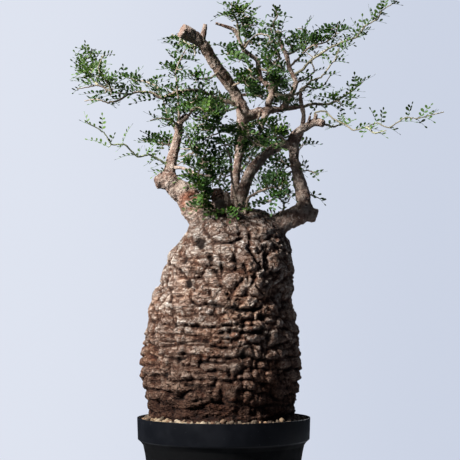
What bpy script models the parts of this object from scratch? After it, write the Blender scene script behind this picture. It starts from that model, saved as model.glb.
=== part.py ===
"""An operculicarya tree in a round nursery pot, in metres, +Z up.

The origin is on the pot's axis, on the plane of its base. +X is to the right as seen from the front and +Y
goes away to the back. The caudex, its buried root and the cut-back limbs grew as one piece. Each leafy stem
is a piece of its own, whose leaves are fused to it.
"""

import math
import random

import bmesh
import bpy
from mathutils import Vector
from mathutils.bvhtree import BVHTree

MM = 0.001
UP = Vector((0, 0, 1))

# Gap left between pieces that touch
SEAT_GAP = 0.0003

# Pot: its rim band steps in to the body in a short chamfer and a cove
POT_HEIGHT = 0.150
RIM_RADIUS = 0.090
RIM_FOOT_RADIUS = 0.0891
RIM_DEPTH = 0.022
CHAMFER_DROP = 0.0025
CHAMFER_STEP = 0.003
COVE_DROP = 0.006
COVE_STEP = 0.0055
BODY_DROP = 0.015
BODY_STEP = 0.0075
BASE_RADIUS = 0.064
BASE_ROUNDING = 0.004
BASE_CHAMFER = 0.002
WALL = 0.0015
FLOOR = 0.0022
FLOOR_RADIUS = 0.061
POT_SEGMENTS = 36
DRAIN_HOLES = 6
DRAIN_RADIUS = 0.0055
DRAIN_CIRCLE = 0.044
DRAIN_SIDES = 8

# Soil and top dressing
SOIL_TOP = 0.1375
SOIL_WALL_GAP = 0.0005
DRESSING_TOP = 0.1435
DRESSING_INNER_TOP = 0.1425
DRESSING_SEGMENTS = 36
SOIL_SEGMENTS = 18
GRAIN_COUNT = 20
GRAIN_RADIUS = 0.0034
GRAIN_SHAPE = Vector((1.1, 0.9, 0.75))
GRAIN_SUNK = 0.0008
GRAIN_STRAY = 0.0015

# Caudex: the plain round neck that the soil and the dressing close round, and the root below it
NECK_RADIUS = 0.075
NECK_TOP = 0.150
ROOT_PROFILE = ((0.143, 0.0750), (0.118, 0.0640), (0.088, 0.0300))
ROOT_TIP = 0.068
CAUDEX_SIDES = 56
CAUDEX_RINGS = 28
CAUDEX_DEPTH_SHARE = 0.95
CROWN_DEPTH_SHARE = 0.86
NECK_BLEND = 0.008

# Knobs of the caudex: rows of cushions that are wider than tall, with creases between them
KNOB_ROWS = 10
KNOBS_IN_ROW = 12
KNOB_STRAY = 0.3
KNOB_FLATNESS = 1.6
CREASE_DEPTH = 0.0048
CREASE_WIDTH = 0.35

# Height, left edge and right edge of the caudex seen from the front, in millimetres
CAUDEX_OUTLINE = (
    (152, -76.5, 73.5), (160, -79, 75), (170, -82, 76), (180, -85, 78), (190, -86, 79), (200, -87, 79),
    (210, -85, 79), (220, -84, 78.5), (240, -82, 77), (262, -80, 73.5), (270, -76, 72), (280, -71, 72),
    (290, -66, 74), (305, -62, 73.5), (312, -60, 73), (320, -55, 72), (330, -49, 69), (340, -44, 65),
    (350, -37, 58), (356, -34, 53), (362, -24, 46), (366, -8, 40),
)
CAUDEX_TOP = Vector((0.016, -0.003, 0.368))

# Eye point from which the routes below are seen
EYE = Vector((0.0065, -1.158, 0.240))

# Limbs, grown as one with the caudex. Each springs from a point of another limb, given by name and number, or
# from a point in the caudex. Its points are (across, height, radius) in millimetres as seen on the plane of
# the pot's axis, and its depth runs evenly from its root to the last value, positive to the back.
LIMBS = {
    "left": ((-10, 340, 20), -8, -14, (
        (-20, 355, 16), (-33, 372, 14), (-40, 385, 11), (-48, 391, 9.5), (-60, 400, 9), (-73, 396, 5.5))),
    "left_upright": (("left", 5), None, -4, (
        (-57, 412, 6), (-54, 424, 5.5), (-51, 436, 4.8), (-49, 448, 4.2), (-48, 458, 4), (-45, 464, 3.6),
        (-38, 468, 3.4))),
    "left_bare_twig": (("left_upright", 1), None, -45, (
        (-46, 412, 1.7), (-40, 410, 1.6), (-32, 406, 1.5), (-25, 404, 1.4), (-14, 403, 1.2))),
    "centre": ((12, 355, 11), 6, 5, (
        (12, 372, 7), (12, 388, 5), (13, 405, 4.3), (16, 425, 4.3), (19, 445, 5), (20, 461, 6.3),
        (20, 469, 7), (18, 479, 6.4), (13, 490, 6))),
    "cut_limb": (("centre", 9), None, -34, (
        (8, 500, 6), (-5, 517, 6), (-12, 528, 6.2), (-18, 538, 6), (-24, 547, 6), (-33, 554, 6.6),
        (-45, 560, 7.2))),
    "cut_limb_spur": (("cut_limb", 5), None, -28, ((-22, 557, 3.2), (-20, 568, 2.2))),
    "pink_twig": (("centre", 9), None, -4, ((22, 490.5, 1.6), (31, 491, 1.5), (42, 488, 1.3))),
    "arm": (("centre", 7), None, 22, (
        (29, 468, 5), (38, 472, 4.5), (48, 474, 4), (60, 475, 3), (75, 477, 2.6), (86, 478, 2.4))),
    "inner_stem": (("arm", 3), None, -10, (
        (48, 482, 3.6), (52, 493, 3.2), (47, 501, 3), (39, 509, 2.8), (37, 520, 2.6), (36, 528, 2.5),
        (28, 534, 2.4), (21, 540, 2.3), (17, 550, 2.2), (12, 561, 2), (3, 565, 1.7), (-9, 569, 1.4))),
    "inner_stem_foot": (("arm", 3), None, 8, ((41, 465, 2.6), (43, 458, 2), (46, 450, 1.5))),
    "outer_stem": (("arm", 4), None, 46, (
        (70, 485, 2.9), (74, 495, 2.8), (77, 504, 2.7), (74, 512, 2.6), (70, 521, 2.5), (67, 534, 2.4),
        (62, 544, 2.3), (58, 560, 2))),
    "right": ((34, 338, 20), -5, -8, (
        (45, 346, 15), (60, 353, 11.5), (74, 359, 10), (86, 363, 9.6), (99, 360, 6.8))),
    "right_upright": (("right", 4), None, -8, (
        (84, 380, 7.8), (81, 393, 6.7), (78, 407, 5.6), (75, 420, 5.1), (75, 432, 5.2))),
    "right_fork": (("right_upright", 5), None, 10, (
        (79, 441, 3), (83, 450, 2.6), (84.5, 460, 2.4), (85, 470, 2.3), (82, 485, 2), (82, 496, 1.8))),
    "bridge": (("right_upright", 5), None, -20, (
        (69, 437, 4.8), (60, 436, 4.8), (48, 429, 4.8), (39, 420, 4.8), (31, 411, 4.9), (24, 398, 5.2),
        (19, 380, 6), (17, 360, 8))),
    "right_stub": (("right_upright", 5), None, -32, (
        (73, 445, 4.4), (81, 452, 4.2), (90, 457, 4.2), (97, 461, 4.4), (107, 459, 4))),
    "red_stub": ((-4, 355, 8), -14, -22, ((-6, 374, 7.5), (-8, 390, 5.8))),
    "pale_stub": ((4, 355, 7), -12, -20, ((2, 373, 6.5), (1, 386, 4.4))),
}
LIMB_SIDES = ((0.008, 10), (0.0038, 8), (0.0, 6))
ROOT_FLARE = 1.15

# Leafy stems, written as the limbs are, with only (across, height) for their points
STEMS = {
    "left_shoot": (("left_upright", 1), None, -55, (
        (-68, 420), (-80, 426), (-92, 424), (-106, 437), (-120, 437), (-128, 450), (-138, 456), (-149, 463))),
    "left_level": (("left_upright", 3), None, 20, ((-58, 436), (-66, 438), (-76, 440), (-88, 441))),
    "left_rising": (("left_upright", 5), None, -34, (
        (-48, 476), (-49, 488), (-50, 501), (-52, 515), (-47, 529), (-41, 541))),
    "left_front": (("left_upright", 5), None, -36, ((-58, 464), (-68, 465), (-79, 463))),
    "left_back": (("left_upright", 4), None, 60, ((-57, 462), (-62, 474), (-66, 489))),
    "upper_left": (("centre", 8), None, -30, (
        (-8, 487), (-20, 493), (-30, 496), (-49, 494), (-67, 487), (-77, 493), (-92, 494), (-103, 491),
        (-120, 494), (-135, 501), (-145, 499), (-157, 497))),
    "upper_left_inner": (("upper_left", 9), None, -42, ((-124, 503), (-131, 511), (-135, 521), (-129, 534))),
    "upper_left_outer": (("upper_left", 10), None, 5, ((-143, 511), (-140, 525), (-147, 544))),
    "upper_left_low": (("upper_left", 8), None, 8, ((-112, 485), (-124, 482), (-136, 486), (-149, 484))),
    "upper_left_back": (("upper_left", 5), None, 62, ((-72, 500), (-84, 505), (-97, 507), (-110, 513))),
    "left_dense": (("left_upright", 7), None, -44, ((-33, 474), (-25, 478), (-29, 487))),
    "pink_spray": (("pink_twig", 2), None, -35, ((34, 497), (39, 503), (36, 511))),
    "centre_front": (("cut_limb", 1), None, -78, ((15, 503), (23, 507), (30, 515))),
    "crown_low": (("cut_limb", 2), None, -66, ((-14, 509), (-25, 508), (-37, 515))),
    "crown_left_back": (("cut_limb", 5), None, 55, ((-34, 544), (-45, 550), (-56, 557))),
    "middle_front": (("centre", 8), None, -70, ((6, 474), (-6, 476), (-17, 469))),
    "middle_back": (("centre", 7), None, 100, ((12, 478), (3, 483), (-9, 479), (-20, 486))),
    "top_left": (("inner_stem", 9), None, -25, ((14, 571), (10, 581), (8, 592))),
    "top_inner": (("inner_stem", 7), None, -62, ((20, 531), (12, 534), (4, 536))),
    "top_back": (("inner_stem", 8), None, 40, ((24, 557), (19, 570), (23, 587))),
    "top_right": (("inner_stem", 8), None, -45, ((27, 549), (36, 557), (47, 556))),
    "inner_right": (("inner_stem", 5), None, -40, ((46, 517), (52, 525), (60, 530))),
    "inner_front": (("inner_stem", 2), None, -80, ((55, 503), (47, 513), (52, 523), (46, 532))),
    "inner_back": (("inner_stem", 2), None, 100, ((58, 501), (55, 512), (61, 523))),
    "right_middle": (("inner_stem", 2), None, -28, (
        (63, 490), (75, 491), (84, 495), (92, 505), (104, 510), (113, 521), (120, 530), (124, 542))),
    "right_top": (("outer_stem", 7), None, 12, ((53, 568), (58, 578), (53, 590))),
    "right_upper": (("outer_stem", 6), None, 84, ((78, 539), (86, 547), (89, 562))),
    "right_high": (("outer_stem", 5), None, -6, (
        (78, 528), (88, 539), (97, 545), (109, 548), (119, 555), (123, 568))),
    "right_far": (("outer_stem", 4), None, -48, (
        (84, 518), (94, 529), (103, 535), (112, 541), (132, 550), (142, 553), (152, 566), (166, 574),
        (170, 583), (186, 593))),
    "right_back": (("outer_stem", 3), None, 125, ((87, 508), (97, 516), (94, 528), (102, 539))),
    "right_inner_back": (("outer_stem", 7), None, 110, ((52, 549), (45, 542), (37, 547))),
    "arm_end": (("arm", 6), None, 34, (
        (96, 481), (110, 480), (120, 484), (128, 489), (141, 498), (149, 505))),
    "arm_front": (("arm", 2), None, -48, ((36, 462), (28, 457), (24, 446))),
    "fork_back": (("right_fork", 6), None, 100, ((88, 500), (98, 497), (108, 502), (114, 512))),
    "far_right": (("right_stub", 4), None, -62, (
        (97, 471), (108, 473), (116, 465), (130, 458), (139, 452), (152, 456), (164, 460), (176, 455),
        (194, 466), (207, 465), (222, 469), (235, 472))),
    "far_right_low": (("right_stub", 5), None, 10, ((117, 456), (126, 459), (135, 461))),
    "far_right_side": (("far_right", 6), None, -66, ((161, 449), (173, 452))),
    "low_front": ((13, 362), -30, -52, (
        (14, 374), (11, 386), (8, 402), (8, 420), (2, 434), (-3, 443), (-8, 456))),
    "low_right": ((22, 362), -30, -45, ((26, 379), (36, 386), (52, 391), (61, 388), (71, 380))),
    "low_left": ((-14, 362), -24, -54, ((-17, 378), (-23, 392), (-27, 405), (-22, 418), (-29, 430))),
    "low_back": ((8, 352), 20, 92, ((2, 380), (-6, 395), (-2, 410), (-11, 424))),
    "right_low_front": (("right", 2), None, -38, ((64, 373), (57, 380), (49, 376))),
    "right_side": (("right_upright", 3), None, -22, ((88, 409), (98, 406))),
    "right_side_back": (("right_upright", 1), None, 22, ((92, 383), (101, 379))),
    "dark_branch": (("bridge", 1), None, -26, ((61, 444), (50, 445), (39, 441), (29, 433), (14, 423))),
    "back_right": (("right_upright", 3), None, 85, ((71, 413), (62, 419), (57, 430))),
    "back_centre": (("centre", 3), None, 105, ((20, 412), (28, 420), (22, 432), (29, 444))),
}
STEM_ROOT_RADIUS = 0.0013
STEM_TIP_RADIUS = 0.00065
STEM_SIDES = 4
FOOT_SIDES = 8
FOOT_STEP = 0.0001

# Leaf: leaflets in pairs along a rib, with one at the tip. A leaflet's corners are shares of the pitch along
# the rib and of its length out from it.
LEAF_SPACING = 0.040
LEAF_TIP_MARGIN = 0.06
LEAFLET_CORNERS = ((0.34, 1.0), (0.88, 0.92))
LEAFLET_SWELL = 0.14
TIP_LEAFLET_WIDEST = 0.5
TIP_LEAFLET_HALF = 0.38
LEAF_STALK = 0.0035
LEAFLET_PAIRS = 2
LEAFLET_PITCH = 0.0056
LEAFLET_LENGTH = 0.0042
RIB_HALF_WIDTH = 0.00045
LEAF_THICKNESS = 0.0007
LEAF_DROOP = 0.0035
LEAFLET_LIFT = 0.12
LEAF_FORWARD = 0.55
LEAF_RISE = 0.25
LEAF_TURN = math.radians(137.5)

# Room that a leaf is given when it is turned clear of the rest
LEAF_TURNS_TRIED = 16
LEAF_ROOM = 1.12
LEAF_ROOT_ROOM = 0.002


def finish_with(obj, name, colour, roughness):
    """Gives obj a Principled material of its own."""
    material = bpy.data.materials.new(name)
    material.use_nodes = True
    shader = material.node_tree.nodes["Principled BSDF"]
    shader.inputs["Base Color"].default_value = (*colour, 1)
    shader.inputs["Roughness"].default_value = roughness
    shader.inputs["Metallic"].default_value = 0
    obj.data.materials.clear()
    obj.data.materials.append(material)


def mesh_object(name, points, faces, collection=None):
    mesh = bpy.data.meshes.new(name)
    mesh.from_pydata([tuple(point) for point in points], [], faces)
    mesh.update()
    obj = bpy.data.objects.new(name, mesh)
    (collection or bpy.context.scene.collection).objects.link(obj)
    return obj


def fuse(obj, parts):
    """Joins the objects of a collection to obj in one solid, then removes them."""
    union = obj.modifiers.new("union", "BOOLEAN")
    union.operation = "UNION"
    union.operand_type = "COLLECTION"
    union.collection = parts
    union.solver = "EXACT"
    joined = bpy.data.meshes.new_from_object(obj.evaluated_get(bpy.context.evaluated_depsgraph_get()))
    obj.modifiers.clear()
    obj.data = joined
    joined.name = obj.name
    for part in list(parts.objects):
        bpy.data.objects.remove(part)
    bpy.data.collections.remove(parts)


def new_collection(name):
    collection = bpy.data.collections.new(name)
    bpy.context.scene.collection.children.link(collection)
    return collection


def turned(name, profile, segments):
    """A profile of (radius, height), up the inside and down the outside, turned round the Z axis."""
    points = [(radius, 0, height) for radius, height in profile]
    edges = [(i, i + 1) for i in range(len(points) - 1)]
    if profile[0][0] > 0:
        edges.append((len(points) - 1, 0))
    mesh = bpy.data.meshes.new(name)
    mesh.from_pydata(points, edges, [])
    obj = bpy.data.objects.new(name, mesh)
    bpy.context.scene.collection.objects.link(obj)
    screw = obj.modifiers.new("turn", "SCREW")
    screw.steps = segments
    screw.render_steps = segments
    screw.use_merge_vertices = True
    screw.merge_threshold = 0.00002
    return obj


def pot_outline():
    """Height and outer radius of the pot's wall, from its base to the top of its rim band."""
    band_foot = POT_HEIGHT - RIM_DEPTH
    return (
        (BASE_ROUNDING, BASE_RADIUS),
        (band_foot - BODY_DROP, RIM_FOOT_RADIUS - BODY_STEP),
        (band_foot - COVE_DROP, RIM_FOOT_RADIUS - COVE_STEP),
        (band_foot - CHAMFER_DROP, RIM_FOOT_RADIUS - CHAMFER_STEP),
        (band_foot, RIM_FOOT_RADIUS),
        (POT_HEIGHT, RIM_RADIUS),
    )


def pot_inside(height):
    """Inner radius of the pot at a height."""
    outline = pot_outline()
    for (low, low_radius), (high, high_radius) in zip(outline, outline[1:]):
        if height <= high:
            share = max(0.0, (height - low) / (high - low))
            return low_radius + share * (high_radius - low_radius) - WALL
    return RIM_RADIUS - WALL


def make_pot():
    """A thin-walled pot: a deep rim band that steps out from a tapered body, and holes in its floor."""
    outline = pot_outline()
    inside = [(radius - WALL, height) for height, radius in outline]
    outside = [(radius, height) for height, radius in reversed(outline)]
    floor = [(0, FLOOR), (FLOOR_RADIUS, FLOOR)]
    base = [(BASE_RADIUS - BASE_CHAMFER, 0), (0, 0)]
    pot = turned("pot", [*floor, *inside, *outside, *base], POT_SEGMENTS)
    for i in range(DRAIN_HOLES):
        angle = (i + 0.5) * math.tau / DRAIN_HOLES
        bpy.ops.mesh.primitive_cylinder_add(
            vertices=DRAIN_SIDES,
            radius=DRAIN_RADIUS,
            depth=4 * FLOOR,
            location=(DRAIN_CIRCLE * math.cos(angle), DRAIN_CIRCLE * math.sin(angle), 0),
        )
        cutter = bpy.context.object
        cutter.name = f"drain_cutter_{i + 1}"
        cutter.hide_render = True
        cutter.display_type = "WIRE"
        cut = pot.modifiers.new("drain hole", "BOOLEAN")
        cut.object = cutter
    finish_with(pot, "black moulded plastic", (0.012, 0.014, 0.019), 0.42)


def make_potting_mix():
    """Fills the pot up to the dressing, with a plain hole for the root."""
    inradius_share = math.cos(math.pi / SOIL_SEGMENTS)
    hole = [
        ((radius + 2 * SEAT_GAP) / inradius_share, height)
        for height, radius in reversed(ROOT_PROFILE)
        if height < SOIL_TOP
    ]
    hole.append(((NECK_RADIUS + SEAT_GAP) / inradius_share, SOIL_TOP))
    levels = [SOIL_TOP] + [height for height, _ in reversed(pot_outline()) if height < SOIL_TOP]
    side = [(pot_inside(level) - SOIL_WALL_GAP, level) for level in levels]
    base = FLOOR + SEAT_GAP
    side.append((FLOOR_RADIUS - SOIL_WALL_GAP, base))
    mix = turned(
        "potting_mix",
        [(0, ROOT_TIP - SEAT_GAP), *hole, *side, (0, base)],
        SOIL_SEGMENTS,
    )
    finish_with(mix, "potting mix", (0.10, 0.062, 0.037), 0.95)


def make_top_dressing():
    """A ring of pale pumice between the neck of the caudex and the rim, with grains standing out of it."""
    bottom = SOIL_TOP + SEAT_GAP
    inner = (NECK_RADIUS + SEAT_GAP) / math.cos(math.pi / DRESSING_SEGMENTS)
    outer = pot_inside(bottom) - 2 * SEAT_GAP
    ring = turned(
        "pumice_top_dressing",
        [(inner, bottom), (inner, DRESSING_INNER_TOP), (outer, DRESSING_TOP), (outer, bottom)],
        DRESSING_SEGMENTS,
    )
    draw = random.Random(5)
    grains = new_collection("grains")
    for i in range(GRAIN_COUNT):
        size = GRAIN_RADIUS * draw.uniform(0.8, 1.2)
        angle = (i + draw.uniform(-0.3, 0.3)) * math.tau / GRAIN_COUNT
        reach = (inner + outer) / 2 + draw.uniform(-GRAIN_STRAY, GRAIN_STRAY)
        centre = Vector((reach * math.cos(angle), reach * math.sin(angle), DRESSING_TOP - GRAIN_SUNK))
        body = bmesh.new()
        bmesh.ops.create_icosphere(body, subdivisions=1, radius=size)
        for vertex in body.verts:
            vertex.co = centre + draw.uniform(0.85, 1.12) * vertex.co * GRAIN_SHAPE
        mesh = bpy.data.meshes.new("grain")
        body.to_mesh(mesh)
        body.free()
        grains.objects.link(bpy.data.objects.new("grain", mesh))
    fuse(ring, grains)
    finish_with(ring, "pumice", (0.62, 0.50, 0.37), 0.9)


def outline_at(height):
    """Left and right edge of the caudex at a height, in metres."""
    height /= MM
    rows = CAUDEX_OUTLINE
    for low, high in zip(rows, rows[1:]):
        if height <= high[0]:
            share = max(0.0, (height - low[0]) / (high[0] - low[0]))
            return tuple((a + share * (b - a)) * MM for a, b in zip(low[1:], high[1:]))
    return tuple(edge * MM for edge in rows[-1][1:])


def knob_centres():
    """Seeded places of the caudex's knobs, as (turn round it, height), row above row."""
    draw = random.Random(11)
    low, high = NECK_TOP, CAUDEX_OUTLINE[-1][0] * MM
    pitch = (high - low) / KNOB_ROWS
    centres = []
    for row in range(KNOB_ROWS + 1):
        for place in range(KNOBS_IN_ROW):
            turn = (place + 0.5 * (row % 2) + draw.uniform(-KNOB_STRAY, KNOB_STRAY)) / KNOBS_IN_ROW
            centres.append((turn % 1.0, low + (row + draw.uniform(-KNOB_STRAY, KNOB_STRAY)) * pitch))
    return centres


KNOBS = knob_centres()


def knob_relief(turn, height, girth):
    """Depth of the crease at a place: 0 on the middle of a knob, 1 in the crease between two."""
    nearest, second = math.inf, math.inf
    for knob_turn, knob_height in KNOBS:
        across = abs(turn - knob_turn)
        across = min(across, 1 - across) * girth
        distance = math.hypot(across, KNOB_FLATNESS * (height - knob_height))
        if distance < nearest:
            nearest, second = distance, nearest
        elif distance < second:
            second = distance
    edge = (second - nearest) / (CREASE_WIDTH * girth / KNOBS_IN_ROW)
    return math.exp(-edge * edge)


def caudex_ring(height):
    """One ring of the caudex above the soil."""
    left, right = outline_at(height)
    low = CAUDEX_OUTLINE[0][0] * MM
    rise = max(0.0, min(1.0, (height - low) / (CAUDEX_OUTLINE[-1][0] * MM - low)))
    share = CAUDEX_DEPTH_SHARE + (CROWN_DEPTH_SHARE - CAUDEX_DEPTH_SHARE) * rise
    centre, half = (left + right) / 2, (right - left) / 2
    settle = max(0.0, min(1.0, (height - NECK_TOP) / NECK_BLEND))
    points = []
    for i in range(CAUDEX_SIDES):
        turn = i / CAUDEX_SIDES
        crease = knob_relief(turn, height, math.tau * half) * settle
        reach = half - CREASE_DEPTH * crease
        angle = turn * math.tau
        depth = share * settle + (1 - settle)
        points.append(Vector((
            centre + reach * math.cos(angle), depth * reach * math.sin(angle) + CAUDEX_TOP.y * rise, height)))
    return points


def make_caudex():
    """The swollen base, from its root tip to the shoulder that the limbs grow from."""
    rings = []
    for height, radius in reversed(ROOT_PROFILE):
        rings.append([
            Vector((radius * math.cos(angle), radius * math.sin(angle), height))
            for angle in (i * math.tau / CAUDEX_SIDES for i in range(CAUDEX_SIDES))
        ])
    low, high = NECK_TOP, CAUDEX_OUTLINE[-1][0] * MM
    rings += [caudex_ring(low + i * (high - low) / CAUDEX_RINGS) for i in range(CAUDEX_RINGS + 1)]
    points = [point for ring in rings for point in ring]
    faces = []
    for i in range(len(rings) - 1):
        for j in range(CAUDEX_SIDES):
            a, b = i * CAUDEX_SIDES + j, i * CAUDEX_SIDES + (j + 1) % CAUDEX_SIDES
            faces.append((a, b, b + CAUDEX_SIDES, a + CAUDEX_SIDES))
    tip, top = len(points), len(points) + 1
    points += [Vector((0, 0, ROOT_TIP)), CAUDEX_TOP]
    last = (len(rings) - 1) * CAUDEX_SIDES
    for j in range(CAUDEX_SIDES):
        faces.append(((j + 1) % CAUDEX_SIDES, j, tip))
        faces.append((last + j, last + (j + 1) % CAUDEX_SIDES, top))
    return mesh_object("trunk", points, faces)


def seen(across, height, depth):
    """The point at a depth that shows at (across, height) on the plane of the pot's axis."""
    on_plane = Vector((across * MM, 0, height * MM))
    return EYE + (on_plane - EYE) * (1 + depth * MM / -EYE.y)


def route_of(entry, routes):
    """Points and radii of a limb or a stem, the first of them inside what it springs from."""
    root, root_depth, end_depth, places = entry
    if root_depth is None:
        parent, number = root
        start, start_radius = routes[parent][0][number], routes[parent][1][number]
        root_depth = start.y / MM
        first = (start.x / MM, start.z / MM)
    else:
        start = seen(root[0], root[1], root_depth)
        start_radius = root[2] * MM if len(root) > 2 else STEM_ROOT_RADIUS
        first = root[:2]
    line = [first, *(place[:2] for place in places)]
    runs = [math.dist(a, b) for a, b in zip(line, line[1:])]
    points, radii, gone = [start], [], 0
    for place, run in zip(places, runs):
        gone += run
        points.append(seen(place[0], place[1], root_depth + (end_depth - root_depth) * gone / sum(runs)))
        radii.append(place[2] * MM if len(place) > 2 else STEM_ROOT_RADIUS)
    return points, [min(start_radius, radii[0] * ROOT_FLARE), *radii]


def tube_mesh(points, radii, sides):
    """Points and faces of a tapered tube with flat ends, its rings turned along the route without twist."""
    steps = [(b - a).normalized() for a, b in zip(points, points[1:])]
    headings = [steps[0]] + [(a + b).normalized() for a, b in zip(steps, steps[1:])] + [steps[-1]]
    side = headings[0].orthogonal().normalized()
    ring_points = []
    for point, heading, radius in zip(points, headings, radii):
        side = (side - heading * side.dot(heading)).normalized()
        other = heading.cross(side)
        for i in range(sides):
            angle = i * math.tau / sides
            ring_points.append(point + radius * (side * math.cos(angle) + other * math.sin(angle)))
    faces = [tuple(reversed(range(sides)))]
    for i in range(len(points) - 1):
        for j in range(sides):
            a, b = i * sides + j, i * sides + (j + 1) % sides
            faces.append((a, b, b + sides, a + sides))
    last = (len(points) - 1) * sides
    faces.append(tuple(last + j for j in range(sides)))
    return ring_points, faces


def make_trunk(routes):
    """The caudex with every limb fused to it."""
    trunk = make_caudex()
    limbs = new_collection("limbs")
    for name, entry in LIMBS.items():
        points, radii = route_of(entry, routes)
        routes[name] = (points, radii)
        widest = max(radii[1:])
        sides = next(count for least, count in LIMB_SIDES if widest > least)
        mesh_object(name, *tube_mesh(points, radii, sides), collection=limbs)
    fuse(trunk, limbs)
    finish_with(trunk, "bark", (0.36, 0.26, 0.20), 0.85)
    return trunk


def solid_tree(points, faces):
    return BVHTree.FromPolygons(points, faces, epsilon=0)


def tree_of(obj):
    points = [vertex.co for vertex in obj.data.vertices]
    return solid_tree(points, [tuple(face.vertices) for face in obj.data.polygons])


def stands_clear(points, trees):
    """Whether every point lies outside all the trees by the seat gap."""
    for tree in trees:
        for point in points:
            place, normal, _, distance = tree.find_nearest(point, 10 * MM)
            if place is None:
                continue
            if distance < SEAT_GAP or (point - place).dot(normal) < 0:
                return False
    return True


def along(points, run):
    """The place at a length along a route, with its heading and the number of the next point."""
    for i in range(len(points) - 1):
        step = points[i + 1] - points[i]
        if run <= step.length:
            return points[i] + step.normalized() * run, step.normalized(), i + 1
        run -= step.length
    step = points[-1] - points[-2]
    return points[-1], step.normalized(), len(points) - 1


def length_of(points):
    return sum((b - a).length for a, b in zip(points, points[1:]))


def off_the_wood(points, radius, trees):
    """The route with its foot moved out along it till its end face stands a seat gap off the wood."""
    run = 0.0
    while run < length_of(points):
        foot, heading, next_point = along(points, run)
        side = heading.orthogonal().normalized()
        other = heading.cross(side)
        face = [
            foot + radius * (side * math.cos(angle) + other * math.sin(angle))
            for angle in (i * math.tau / FOOT_SIDES for i in range(FOOT_SIDES))
        ]
        if stands_clear([foot, *face], trees):
            return [foot, *points[next_point:]]
        run += FOOT_STEP
    raise ValueError("a stem never leaves the wood")


def leaf_mesh(root, heading, up, room=1.0):
    """Points and faces of one pinnate leaf, its leaflets cut to the rib in a single arched blade."""
    across = heading.cross(up).normalized()
    up = across.cross(heading).normalized()
    length = LEAF_STALK + LEAFLET_PITCH * (LEAFLET_PAIRS + 1)

    def place(run, offset, side):
        drop = LEAF_DROOP * (run / length) ** 2
        rise = LEAFLET_LIFT * abs(offset) - drop + side * LEAF_THICKNESS * room / 2
        return root + heading * run * room + across * offset * room + up * rise

    half, pitch, reach = RIB_HALF_WIDTH, LEAFLET_PITCH, LEAFLET_LENGTH
    right = [(0.0, half), (LEAF_STALK, half)]
    for pair in range(LEAFLET_PAIRS):
        start = LEAF_STALK + pair * pitch
        grown = reach * (1 - LEAFLET_SWELL * (1 - math.sin(math.pi * (pair + 1) / (LEAFLET_PAIRS + 1))))
        right += [(start + share * pitch, out * grown) for share, out in LEAFLET_CORNERS]
        right.append((start + pitch, half))
    tip_start = LEAF_STALK + LEAFLET_PAIRS * pitch
    tip_widest, tip_half = tip_start + TIP_LEAFLET_WIDEST * pitch, TIP_LEAFLET_HALF * pitch
    outline = right + [(tip_widest, tip_half), (length, 0.0), (tip_widest, -tip_half)]
    outline += [(run, -offset) for run, offset in reversed(right)]
    count = len(outline)
    triangles = []

    def mirrored(index):
        return count - 1 - index

    triangles += [(0, 1, mirrored(1)), (0, mirrored(1), mirrored(0))]
    for pair in range(LEAFLET_PAIRS):
        low = 1 + 3 * pair
        triangles += [
            (low, low + 1, low + 2), (low, low + 2, low + 3),
            (mirrored(low + 1), mirrored(low), mirrored(low + 2)),
            (mirrored(low + 2), mirrored(low), mirrored(low + 3)),
            (low, low + 3, mirrored(low + 3)), (low, mirrored(low + 3), mirrored(low)),
        ]
    last = 1 + 3 * LEAFLET_PAIRS
    triangles += [
        (last, last + 1, last + 2),
        (last, last + 2, mirrored(last)),
        (mirrored(last), last + 2, mirrored(last + 1)),
    ]
    points = [place(run, offset, side) for side in (1, -1) for run, offset in outline]
    faces = [tuple(reversed(face)) for face in triangles]
    faces += [tuple(index + count for index in face) for face in triangles]
    for i in range(count):
        j = (i + 1) % count
        faces += [(i, j, j + count), (i, j + count, i + count)]
    return points, faces


def add_leaves(stem, route, trees, draw, leaves):
    """Leaves one after another up the stem, each turned about it till it hangs clear of all the rest."""
    length = length_of(route)
    count = max(1, round(length / LEAF_SPACING))
    turn = draw.uniform(0, math.tau)
    placed = []
    for i in range(count):
        run = length * (1 - (i + LEAF_TIP_MARGIN) / count)
        root, heading, _ = along(route, run)
        side = heading.cross(UP).normalized()
        other = side.cross(heading)
        turn += LEAF_TURN
        for attempt in range(LEAF_TURNS_TRIED):
            angle = turn + attempt * math.tau / LEAF_TURNS_TRIED
            outward = side * math.cos(angle) + other * math.sin(angle)
            pointing = (outward + LEAF_FORWARD * heading + LEAF_RISE * UP).normalized()
            test = solid_tree(*leaf_mesh(root + LEAF_ROOT_ROOM * pointing, pointing, UP, LEAF_ROOM))
            if not any(test.overlap(tree) for tree in trees + placed):
                break
        else:
            continue
        placed.append(test)
        mesh_object("leaf", *leaf_mesh(root, pointing, UP), collection=leaves)


def make_stems(trunk, routes):
    """Every leafy stem, each clear of the trunk and of the stems before it."""
    trees = [tree_of(trunk)]
    draw = random.Random(23)
    stems = []
    for name, entry in STEMS.items():
        points, _ = route_of(entry, routes)
        route = off_the_wood(points, STEM_ROOT_RADIUS, trees)
        taper = (STEM_TIP_RADIUS - STEM_ROOT_RADIUS) / (len(route) - 1)
        radii = [STEM_ROOT_RADIUS + i * taper for i in range(len(route))]
        routes[name] = (points, radii)
        stem = mesh_object(f"stem_{name}", *tube_mesh(route, radii, STEM_SIDES))
        stems.append((stem, route))
        trees.append(tree_of(stem))
    for number, (stem, route) in enumerate(stems, start=1):
        leaves = new_collection("leaves")
        others = trees[:number] + trees[number + 1:]
        add_leaves(stem, route, others, draw, leaves)
        fuse(stem, leaves)
        trees[number] = tree_of(stem)
        finish_with(stem, f"leaf green {number}", (0.10, 0.19, 0.06), 0.55)


def main():
    for obj in list(bpy.data.objects):
        bpy.data.objects.remove(obj)
    make_pot()
    make_potting_mix()
    make_top_dressing()
    routes = {}
    trunk = make_trunk(routes)
    make_stems(trunk, routes)


main()
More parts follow.
